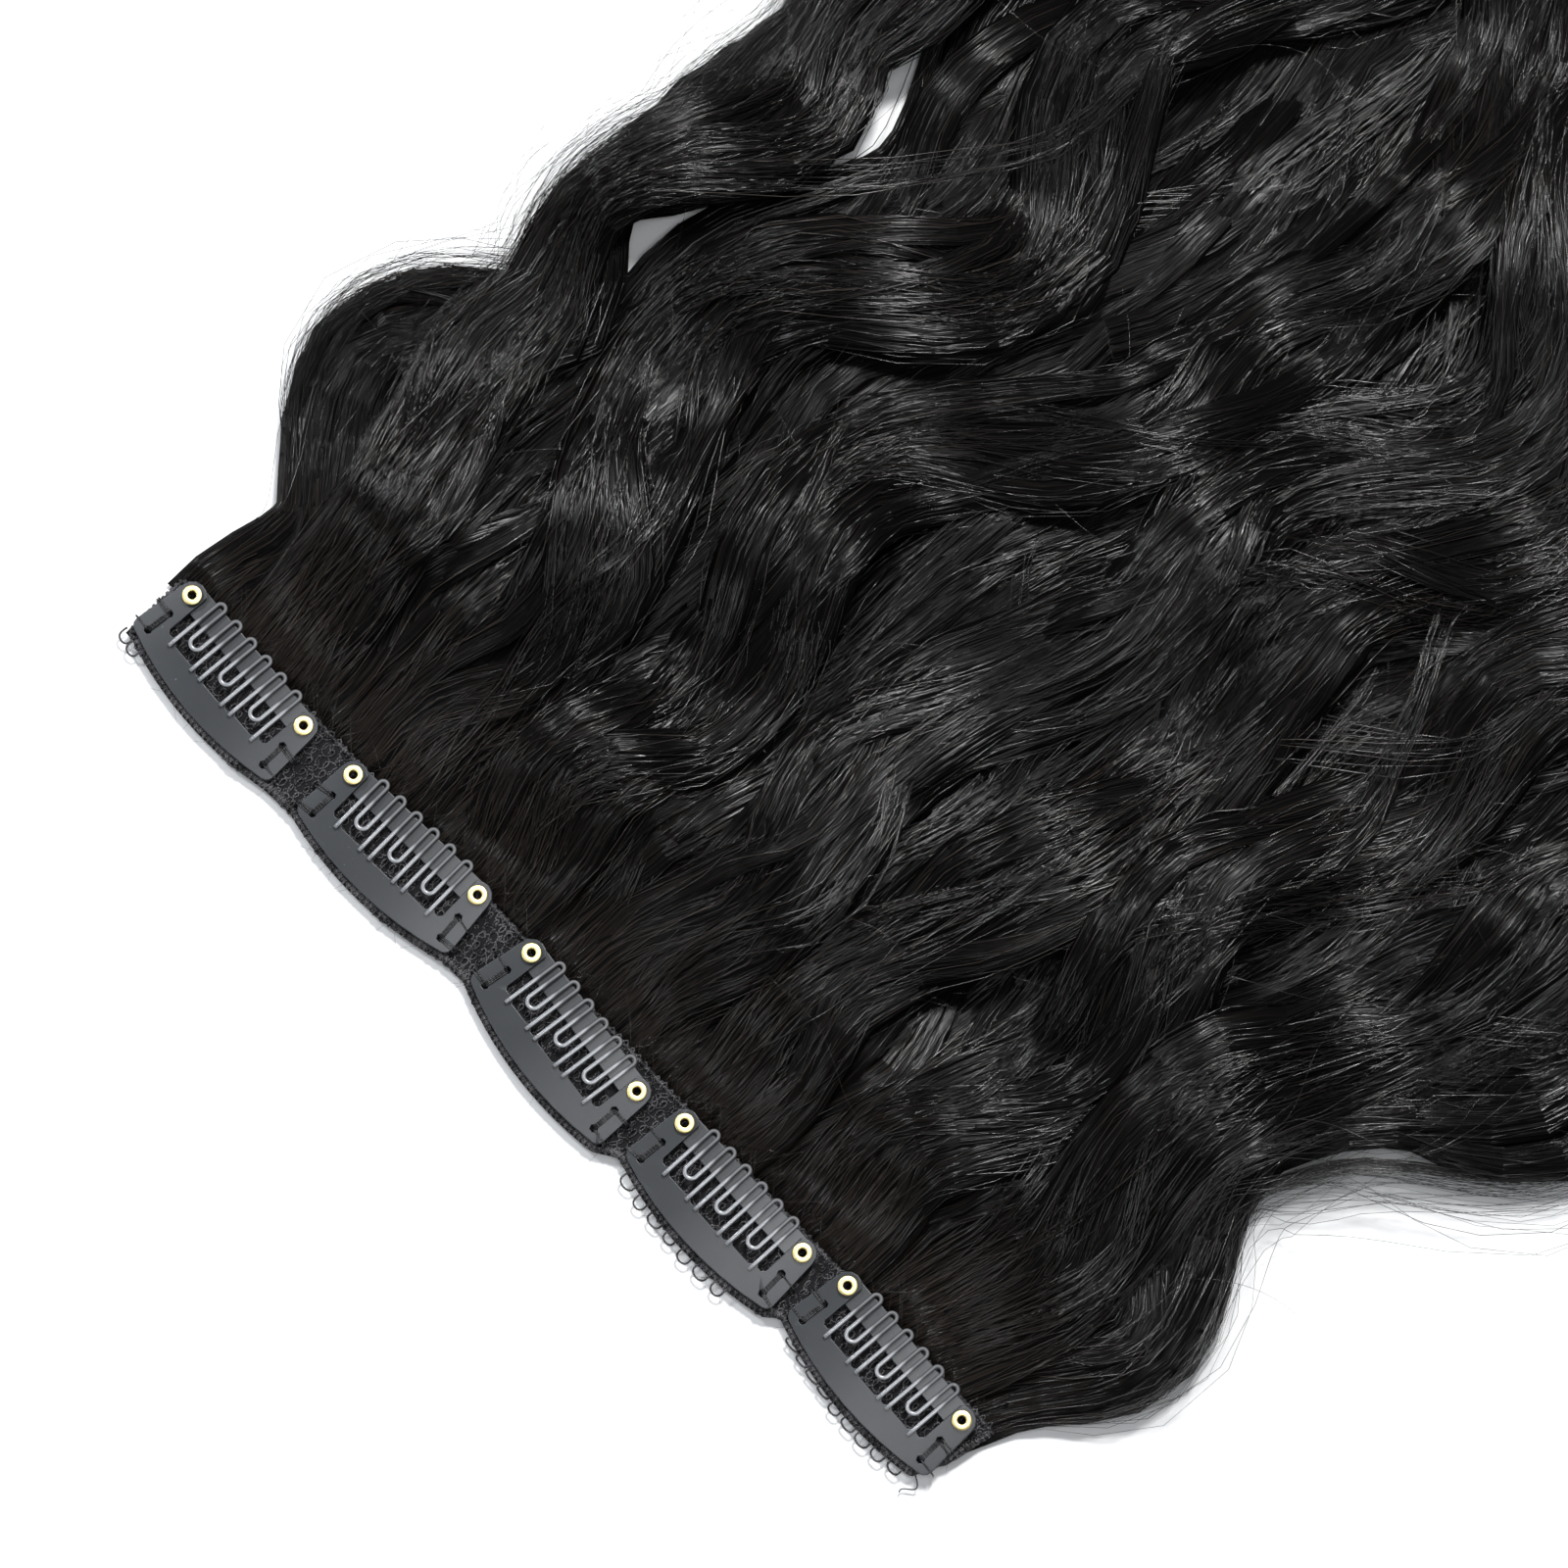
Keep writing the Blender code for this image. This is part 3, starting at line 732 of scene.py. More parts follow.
class Graph:
    """A Principled material whose nodes are made one by one."""

    def __init__(self, name: str, **fixed: Any) -> None:
        """Make the material, with its constant values set on the shader's own sockets.

        Args:
            name: the material's name.
            fixed: a value for each socket, named with underscores for spaces.
        """
        self.material = bpy.data.materials.new(name)
        self.material.use_nodes = True
        self.shader = self.material.node_tree.nodes["Principled BSDF"]
        for socket, value in fixed.items():
            self.shader.inputs[socket.replace("_", " ")].default_value = value

    def node(
        self, kind: str, settings: dict[str, Any], values: dict[Any, Any], output: Any = 0
    ) -> Signal:
        """Make a node: its type, its settings, its socket values or links, and what it gives.

        Args:
            kind: the node's type.
            settings: its own settings, set first.
            values: a number, a colour or a link for each socket.
            output: which of its outputs is given.

        Returns:
            The chosen output.
        """
        made = self.material.node_tree.nodes.new(kind)
        for key, value in settings.items():
            setattr(made, key, value)
        for key, value in values.items():
            if isinstance(value, Signal):
                self.material.node_tree.links.new(value.socket, made.inputs[key])
            else:
                made.inputs[key].default_value = value
        return Signal(self, made.outputs[output])

    def link(self, socket: str, signal: Signal) -> None:
        """Feed one socket of the shader."""
        self.material.node_tree.links.new(signal.socket, self.shader.inputs[socket])

    def place(self) -> Signal:
        """Object coordinates, in metres."""
        return self.node("ShaderNodeTexCoord", {}, {}, "Object")

    def coordinate(self, axis: int) -> Signal:
        """One of the object coordinates, 0 for x to 2 for z, in metres."""
        return self.node("ShaderNodeSeparateXYZ", {}, {0: self.place()}, axis)

    def unwrapped(self, across: float, along: float) -> Signal:
        """The UV map scaled to one unit for each size across and along.

        Args:
            across: the size round a piece, in metres.
            along: the size along it, in metres.

        Returns:
            The scaled coordinates.
        """
        uv = self.node("ShaderNodeTexCoord", {}, {}, "UV")
        factors = (1 / across, 1 / along, 1.0)
        return self.node("ShaderNodeVectorMath", {"operation": "MULTIPLY"}, {0: uv, 1: factors})

    def shifted(self, vector: Signal, amount: Signal) -> Signal:
        """A vector moved along Z, so that each body reads its own stretch of a texture."""
        offset = self.node("ShaderNodeCombineXYZ", {}, {2: amount})
        return self.node("ShaderNodeVectorMath", {"operation": "ADD"}, {0: vector, 1: offset})

    def tone(self) -> Signal:
        """The mesh's own tone attribute."""
        return self.node("ShaderNodeAttribute", {"attribute_name": "tone"}, {}, "Fac")

    def noise(
        self, vector: Signal, scale: float, detail: float = 2.0, rough: float = 0.5
    ) -> Signal:
        """Smooth noise from 0 to 1."""
        values = {"Vector": vector, "Scale": scale, "Detail": detail, "Roughness": rough}
        return self.node("ShaderNodeTexNoise", {}, values)

    def mix(self, share: Signal, first: Any, second: Any) -> Signal:
        """A colour between two, by a share."""
        settings = {"data_type": "RGBA"}
        return self.node("ShaderNodeMix", settings, {0: share, 6: first, 7: second}, 2)

    def bump(self, height: Signal, distance: float) -> None:
        """Give the shader a bumped normal: height 1 stands the given distance proud."""
        values = {"Height": height, "Distance": distance, "Strength": 1.0}
        self.link("Normal", self.node("ShaderNodeBump", {}, values))


def shade(red: float, green: float, blue: float) -> tuple[float, float, float, float]:
    """An opaque colour."""
    return (red, green, blue, 1.0)


@dataclass(frozen=True)
class SatinPaint:
    """Black satin paint on a stamped plate: orange peel, cloudy sheen, scratches and specks.

    The plate bows a little along its own x, about its place: height = -x^2 / (2 radius). On a
    tooth wire the paint is rougher over the bar, and over the slots its colour is paled towards
    the worn grey: a painted highlight.
    """

    name: str
    place: tuple[float, float, float] = (0.0, 0.0, 0.0)
    turn: float = 0.0
    bow_radius: float = 0.13
    base: tuple[float, float, float, float] = shade(0.022, 0.025, 0.029)
    wear_and_highlight_colour: tuple[float, float, float, float] = shade(0.13, 0.14, 0.15)
    roughness: float = 0.25
    ior: float = 1.5
    peel: float = 0.35 * MM
    peel_depth: float = 0.006 * MM
    cloud: float = 9.0 * MM
    scratch_length: float = 6.0 * MM
    scratch_width: float = 0.25 * MM
    speck: float = 0.5 * MM
    slot_highlight: float = 0.0
    tip_dulling: float = 0.0
    tip_span: tuple[float, float] = (-1.8 * MM, 0.2 * MM)

    def build(self) -> bpy.types.Material:
        """Make the material.

        Returns:
            The material.
        """
        graph = Graph(self.name, IOR=self.ior)
        place = graph.place()
        around = {"vector_type": "TEXTURE"}
        values = {"Vector": place, "Location": self.place, "Rotation": (0.0, 0.0, self.turn)}
        own = graph.node("ShaderNodeMapping", around, values)
        length = graph.node("ShaderNodeSeparateXYZ", {}, {0: own}, 0)
        bow = length * length * (-0.5 / self.bow_radius)
        cloud = graph.noise(place, 1 / self.cloud, 3.0)
        peel = graph.noise(place, 1 / self.peel, 2.0)
        stretch = (1 / self.scratch_length, 1 / self.scratch_width, 1 / self.scratch_length)
        turned = graph.node(
            "ShaderNodeMapping", {}, {"Vector": own, "Rotation": (0.0, 0.0, 0.3), "Scale": stretch}
        )
        scratch = graph.noise(turned, 1.0, 2.0).eased(0.70, 0.78)
        specks = graph.noise(place, 1 / self.speck, 1.0).eased(0.76, 0.80)
        wear_and_highlight = (specks * 0.7 + scratch * 0.35) * cloud.eased(0.42, 0.62)
        roughness = self.roughness + 0.10 * cloud - 0.08 * scratch + 0.04 * peel
        if self.tip_dulling:
            over_bar = graph.coordinate(1).eased(*self.tip_span)
            # Painted highlight: over the slots the wire's colour is paled towards the worn grey.
            wear_and_highlight = wear_and_highlight + (1 - over_bar) * self.slot_highlight
            roughness = roughness + self.tip_dulling * over_bar
        graph.link("Base Color", graph.mix(wear_and_highlight, self.base, self.wear_and_highlight_colour))
        graph.link("Roughness", roughness)
        graph.bump(bow + (peel + 2.0 * wear_and_highlight) * self.peel_depth, 1.0)
        return graph.material


@dataclass(frozen=True)
class PaleBrass:
    """Pale plated brass: rougher, and darkened with painted shade, in its bore and under its rim.
    """

    bright: tuple[float, float, float, float] = shade(0.84, 0.70, 0.33)
    # Painted shade colour for the bore and the underside of the rim.
    dull: tuple[float, float, float, float] = shade(0.20, 0.14, 0.05)
    roughness: float = 0.34
    grain: float = 0.3 * MM
    bright_height: float = 4.86 * MM
    painted_shade_depth: float = 0.25 * MM
    grain_depth: float = 0.004 * MM

    def build(self) -> bpy.types.Material:
        """Make the material.

        Returns:
            The material.
        """
        graph = Graph("pale_brass", Metallic=1.0)
        painted_shade_height = self.bright_height - self.painted_shade_depth
        # Painted shade: below the flange's top the colour darkens towards dull, in the bore and
        # under the rim.
        low = 1 - graph.coordinate(2).eased(painted_shade_height, self.bright_height)
        stain = graph.noise(graph.place(), 1 / self.grain, 3.0)
        graph.link("Base Color", graph.mix(low, self.bright, self.dull))
        graph.link("Roughness", self.roughness + 0.15 * stain + 0.2 * low)
        graph.bump(stain, self.grain_depth)
        return graph.material


@dataclass(frozen=True)
class TwistedThread:
    """Spun black thread: the twist of its plies runs round it, and its colour pales along the
    plies and the fuzz, in patches, as painted highlights.
    """

    name: str
    dark: tuple[float, float, float, float]
    painted_highlight: tuple[float, float, float, float]
    roughness: float
    ply_pitch: float = 0.5 * MM
    ply_lean: float = 9.0
    ply_depth: float = 0.05 * MM
    fuzz: float = 0.12 * MM
    patch: float = 2.2 * MM

    def build(self) -> bpy.types.Material:
        """Make the material.

        Returns:
            The material.
        """
        graph = Graph(self.name)
        uv = graph.unwrapped(MM, self.ply_pitch)
        across = graph.node("ShaderNodeSeparateXYZ", {}, {0: uv}, 0)
        along = graph.node("ShaderNodeSeparateXYZ", {}, {0: uv}, 1)
        turn = along * (2 * math.pi) + across * self.ply_lean
        ply = graph.node("ShaderNodeMath", {"operation": "SINE"}, {0: turn}) * 0.5 + 0.5
        fuzz = graph.noise(graph.place(), 1 / self.fuzz, 2.0)
        patch = graph.noise(graph.place(), 1 / self.patch, 2.0)
        # Painted highlight: the colour pales along the ply crowns and the fuzz, in patches.
        share = (ply * 0.5 + fuzz * 0.5) * patch.eased(0.35, 0.7)
        graph.link("Base Color", graph.mix(share, self.dark, self.painted_highlight))
        graph.link("Roughness", self.roughness + 0.2 * fuzz)
        graph.bump(ply + fuzz, self.ply_depth)
        return graph.material


@dataclass(frozen=True)
class HairFinish:
    """What both finishes of the hair share: broad pools of painted light and shade, and
    paler, warmer streaks near the band.
    """

    painted_pool: float = 38.0 * MM
    root_span: tuple[float, float] = (4.0 * MM, 38.0 * MM)

    def painted_light_pools(self, graph: Graph) -> Signal:
        """Broad pools of painted light and shade, from 0 to 1: low darkens the hair's colour."""
        return graph.noise(graph.place(), 1 / self.painted_pool, 1.0).eased(0.42, 0.62)

    def root(self, graph: Graph) -> Signal:
        """1 near the band, eased to 0 along root_span."""
        return 1 - graph.coordinate(1).eased(*self.root_span)


@dataclass(frozen=True)
class StrandFinish(HairFinish):
    """Single hairs: near black, from cool to warm brown, with a soft gloss along them."""

    dark: tuple[float, float, float, float] = shade(0.0024, 0.0022, 0.0022)
    warm: tuple[float, float, float, float] = shade(0.036, 0.0285, 0.0240)
    roughness: float = 0.12
    change: float = 14.0 * MM
    root_share: float = 0.9

    def build(self) -> bpy.types.Material:
        """Make the material.

        Returns:
            The material.
        """
        graph = Graph("hair_strands", IOR=1.55, Specular_IOR_Level=0.48)
        tone = graph.tone()
        uv = graph.unwrapped(self.change, self.change)
        drift = graph.noise(graph.shifted(uv, tone * 40.0), 1.0, 2.0)
        # Painted light and shade: broad pools make the strands' colour paler or darker.
        share = tone**4 * (0.2 + 1.4 * drift) * (0.35 + 0.65 * self.painted_light_pools(graph))
        share = share + self.root_share * self.root(graph) * drift
        graph.link("Base Color", graph.mix(share, self.dark, self.warm))
        graph.link("Roughness", self.roughness + 0.12 * drift)
        return graph.material


@dataclass(frozen=True)
class MassFinish(HairFinish):
    """Combed hair seen as a mass: streaks of strands along it, in bump, tone and gloss."""

    dark: tuple[float, float, float, float] = shade(0.0022, 0.0020, 0.0020)
    warm: tuple[float, float, float, float] = shade(0.0150, 0.0122, 0.0104)
    roughness: float = 0.16
    strand: float = 0.52 * MM
    bunch: float = 1.9 * MM
    run: float = 20.0 * MM
    relief: float = 0.60 * MM
    root_share: float = 0.6

    def build(self) -> bpy.types.Material:
        """Make the material.

        Returns:
            The material.
        """
        graph = Graph("hair_mass", IOR=1.5, Specular_IOR_Level=0.11)
        tone = graph.tone()
        fine_uv = graph.shifted(graph.unwrapped(self.strand, self.run), tone * 50.0)
        wide_uv = graph.shifted(graph.unwrapped(self.bunch, 2.5 * self.run), tone * 30.0)
        fine = graph.noise(fine_uv, 1.0, 2.0, 0.6)
        wide = graph.noise(wide_uv, 1.0, 2.0, 0.5)
        share = fine.eased(0.48, 0.68) * (0.15 + 0.85 * wide.eased(0.40, 0.68))
        # Painted light and shade: broad pools make the mass's colour paler or darker.
        share = share * (0.3 + 0.7 * self.painted_light_pools(graph))
        share = share + self.root_share * self.root(graph) * fine.eased(0.40, 0.62)
        graph.link("Base Color", graph.mix(share, self.dark, self.warm))
        dull = tone.eased(0.45, 1.0) * 0.08
        graph.link("Roughness", self.roughness + 0.06 * fine.eased(0.58, 0.38) + dull)
        graph.bump(fine + wide * 0.8, self.relief)
        return graph.material


@dataclass(frozen=True)
class PaperFinish:
    """The floor: plain white paper."""

    cool: tuple[float, float, float, float] = shade(0.88, 0.89, 0.90)
    plain: tuple[float, float, float, float] = shade(0.90, 0.90, 0.90)
    fibre: float = 3.0 * MM

    def build(self) -> bpy.types.Material:
        """Make the material.

        Returns:
            The material.
        """
        graph = Graph("white_paper", Roughness=0.9)
        fibre = graph.noise(graph.place(), 1 / self.fibre, 2.0)
        graph.link("Base Color", graph.mix(fibre, self.cool, self.plain))
        return graph.material


# Sub-assemblies


class ClipFrame:
    """A clip's place on the band: turns its own x, y and z into the part's."""

    def __init__(self, joint: dict[str, Any], root_y: float) -> None:
        """Read it from the comb's hinge, whose axis is the clip's own x.

        Args:
            joint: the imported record's joint.
            root_y: where the hinge lies on the clip, in metres.
        """
        self.along = unit(np.array(joint["axis"], float))
        self.across = np.cross(Z_AXIS, self.along)
        hinge = np.array(joint["pos_m"], float)
        self.origin = hinge - self.across * root_y
        self.origin[2] = 0.0

    def to_part(self, local: Array) -> Array:
        """Points [..., xyz] of the clip in the part's frame: o + x a + y b + z k."""
        axes = np.stack([self.along, self.across, Z_AXIS])
        return self.origin + local @ axes


class Clip:
    """One snap clip: painted sheet and bar, tooth wires, eyelets and sewing thread."""

    def __init__(
        self,
        number: int,
        sizes: ClipSizes,
        comb: CombSizes,
        eyelet: EyeletSizes,
        sewing: SewingSizes,
    ) -> None:
        """Find the clip's place from its joint.

        Args:
            number: 1 to 5, in order of x.
            sizes: the stamped clip's sizes.
            comb: the tooth wires' sizes.
            eyelet: the eyelets' sizes.
            sewing: the sewing thread's sizes.
        """
        self.number = number
        self.sizes = sizes
        self.comb = comb
        self.eyelet = eyelet
        self.sewing = sewing
        joint = next(j for j in frame["joints"] if j["child"] == f"comb_{number}")
        self.frame = ClipFrame(joint, self.root_y)

    @property
    def root_y(self) -> float:
        """Where the teeth leave the spine."""
        return float(self.sizes.arc_y(self.sizes.spine_radius - self.sizes.spine_width, 0.0))

    def tooth_height(self, y: Array) -> Array:
        """Middle height of a wire: a line from spine to bar plus an arch, a sin(pi s).

        Args:
            y: places along the tooth, in metres of the clip.

        Returns:
            Heights of the same shape.
        """
        start = self.root_y - self.comb.root_lap
        share = (y - start) / (self.comb.comb_reach - start)
        half = self.sizes.sheet_thickness / 2
        root_z = self.sizes.sheet_top(start) + self.sizes.gap + half
        tip_z = self.sizes.bar_top + self.sizes.gap + half
        return root_z + (tip_z - root_z) * share + self.comb.arch * np.sin(np.pi * share)

    def tooth_path(self) -> Array:
        """One serpentine unit, leg, loop, inner U, loop and leg, evenly stepped.

        Returns:
            Points [point, xyz] in the clip's frame.
        """
        comb = self.comb
        radius = (comb.leg_reach - comb.inner_reach) / 2
        loop_y = comb.comb_reach - comb.wire_width / 2 - radius
        inner_y = comb.inner_reach + comb.wire_width / 2 - comb.loop_depth
        start_y = self.root_y - comb.root_lap - comb.root_clear
        leg = np.linspace((-comb.leg_reach, start_y), (-comb.leg_reach, loop_y), comb.leg_points)
        loop = arc_points((-comb.leg_reach + radius, loop_y), radius, 180, 0, comb.loop_step)
        line = np.linspace(loop[-1], (-comb.inner_reach, inner_y), comb.leg_points - 2)
        half_u = arc_points((0, inner_y), comb.inner_reach, 180, 270, comb.loop_step)
        half = np.concatenate([leg[:-1], loop[:-1], line[:-1], half_u])
        flat = np.concatenate([half, half[-2::-1] * (-1, 1)])
        sunk = comb.root_sink * (1 - smoothstep((flat[:, 1] - start_y) / comb.root_ease))
        return np.column_stack([flat, self.tooth_height(flat[:, 1]) - sunk])

    def comb_piece(self, finish: bpy.types.Material) -> Piece:
        """All tooth units of the clip as one piece that lifts with the comb.

        Args:
            finish: the piece's material.

        Returns:
            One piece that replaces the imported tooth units.
        """
        path = self.tooth_path()
        middle = (self.comb.units - 1) / 2
        shifts = (np.arange(self.comb.units) - middle) * self.comb.unit_pitch
        paths = path[None] + shifts[:, None, None] * X_AXIS
        shape = tube(
            self.frame.to_part(paths),
            self.comb.wire_width / 2,
            self.sizes.sheet_thickness / 2,
            self.comb.sides,
            roundness=self.comb.roundness,
        )
        nodes = tuple(f"teeth_{self.number}_{unit + 1}" for unit in range(self.comb.units))
        name = f"clip_{self.number}_comb"
        return Piece(name, shape, finish, Slot.PAINT, f"comb_{self.number}", nodes)

    def eyelet_profile(self) -> Array:
        """Section (r, z) of an eyelet: bore, rolled top, flange edge, underside and shank.

        Returns:
            Points [point, (r, z)] of the closed section.
        """
        size = self.eyelet
        top = size.flange_bottom + size.flange_height
        shank = size.bore + size.wall
        roll = size.flange_height / 2
        edge = arc_points((size.flange - roll, top - roll), roll, 70, -90, size.step)
        lip = arc_points((size.bore + roll, top - roll), roll, 180, 100, size.step)
        below = [(shank, size.flange_bottom), (shank, self.sizes.bar_bottom)]
        inner = [(size.bore, self.sizes.bar_bottom)]
        return np.concatenate([lip, edge, below, inner])

    def eyelet_piece(self, finish: bpy.types.Material) -> Piece:
        """Both eyelets: the profile turned about each rivet's axis, (r cos a, r sin a, z).

        Args:
            finish: the piece's material.

        Returns:
            One piece that replaces both packed rivets.
        """
        profile = self.eyelet_profile()
        angles = 2 * math.pi * np.arange(self.eyelet.sides) / self.eyelet.sides
        radius, height = profile[:, 0], profile[:, 1]
        turned = np.stack(
            [
                np.cos(angles)[:, None] * radius,
                np.sin(angles)[:, None] * radius,
                np.broadcast_to(height, (len(angles), len(height))),
            ],
            axis=-1,
        )
        places = np.array([-1, 1]) * self.sizes.rivet_spacing / 2
        rings = turned[None] + places[:, None, None, None] * X_AXIS
        shape = loft(self.frame.to_part(rings), closed=True)
        nodes = tuple(f"rivet_{self.number}_{side}" for side in ("left", "right"))
        return Piece(f"clip_{self.number}_eyelets", shape, finish, Slot.BRASS, replaces=nodes)

    def hole_places(self, side: int) -> Array:
        """The two sewing holes at one end, [hole, xy].

        Args:
            side: -1 for the left end, 1 for the right.

        Returns:
            Places [hole, xy], upper one first.
        """
        sizes = self.sizes
        shares = np.array(sizes.hole_shares)
        lean = shares * (sizes.end_reach - sizes.arm_tip_radius)
        x = sizes.rivet_spacing / 2 + sizes.arm_tip_radius + lean - sizes.hole_inset
        return np.column_stack([side * x, -shares * sizes.spine_reach])

    def stitch_path(
        self, start: Array, end: Array, dips: tuple[float, float], rise: float
    ) -> Array:
        """A stitch between two places: a low arch that dips to its ends.

        Its height over the sheet is (rise + dip) f - dip, with f = 1 - |2s - 1|^5 and the
        nearer end's dip.

        Args:
            start: where it comes up, xy.
            end: where it goes down, xy.
            dips: how far each end lies under the sheet's upper face.
            rise: how far its middle line lies over that face.

        Returns:
            Points [point, xyz] in the clip's frame.
        """
        share = np.linspace(0.0, 1.0, 15)
        eased = 0.5 - 0.5 * np.cos(np.pi * share)
        flat = start + (end - start) * eased[:, None]
        low = np.where(share < 0.5, dips[0], dips[1])
        arch = 1 - np.abs(2 * share - 1) ** 5
        height = self.sizes.sheet_top(flat[:, 1]) - low + (rise + low) * arch
        return np.column_stack([flat, height])

    def thread_piece(self, finish: bpy.types.Material, rng: np.random.Generator) -> Piece:
        """The sewing thread: between the holes of an end, and from each over the sheet's end.

        Args:
            finish: the piece's material.
            rng: where the random draws come from.

        Returns:
            One piece with every stitch of the clip.
        """
        sewing = self.sewing
        paths, references = [], []
        for side in (-1, 1):
            upper, lower = self.hole_places(side)
            outward = np.array([side * sewing.reach, 0.0])
            ahead = unit(lower - upper)
            beside = np.array([-ahead[1], ahead[0]])
            routes = []
            for offset in sewing.pair_offsets:
                shift = beside * offset
                routes.append((upper + shift, lower + shift, (sewing.through, sewing.through)))
            for hole in (upper, lower):
                count = rng.integers(1, sewing.most_over_end + 1)
                for spread in (np.arange(count) - (count - 1) / 2) * sewing.over_end_pitch:
                    start = hole + np.array([0.0, spread])
                    end = start + outward + np.array([0.0, rng.normal(0, sewing.wander)])
                    routes.append((start, end, (sewing.through, 2 * sewing.through)))
            for start, end, dips in routes:
                local = self.stitch_path(start, end, dips, sewing.rise * rng.uniform(0.9, 1.6))
                ahead = unit(end - start)
                paths.append(local)
                references.append(np.array([-ahead[1], ahead[0], 0.0]))
        tubes = self.frame.to_part(np.stack(paths))
        axes = np.stack([self.frame.along, self.frame.across, Z_AXIS])
        reference = (np.stack(references) @ axes)[:, None]
        shape = tube(tubes, sewing.radius, sides=sewing.sides, reference=reference)
        return Piece(f"clip_{self.number}_thread", shape, finish, Slot.LACE)

    def paint(self) -> bpy.types.Material:
        """Black paint that follows the clip's own length."""
        turn = math.atan2(self.frame.along[1], self.frame.along[0])
        return SatinPaint(f"satin_paint_{self.number}", tuple(self.frame.origin), turn).build()

    def dress_sheets(self, finish: bpy.types.Material) -> None:
        """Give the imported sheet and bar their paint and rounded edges.

        Args:
            finish: the clip's own paint.
        """
        for name in (f"clip_sheet_{self.number}", f"crossbar_{self.number}"):
            node = frame["nodes"][name]
            node.data.materials.clear()
            node.data.materials.append(finish)
            weld = node.modifiers.new("weld", "WELD")
            weld.merge_threshold = self.sizes.weld
            bevel = node.modifiers.new("rounded_edges", "BEVEL")
            bevel.width = self.sizes.edge_radius
            bevel.segments = self.sizes.edge_segments
            bevel.limit_method = "ANGLE"
            bevel.angle_limit = math.radians(self.sizes.edge_angle_deg)
            bevel.harden_normals = True

    def build(self, finishes: Finishes, rng: np.random.Generator) -> None:
        """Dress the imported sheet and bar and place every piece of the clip.

        Args:
            finishes: the part's materials.
            rng: where the random draws come from.
        """
        self.dress_sheets(self.paint())
        self.comb_piece(finishes.wire).place()
        self.eyelet_piece(finishes.brass).place()
        self.thread_piece(finishes.thread, rng).place()


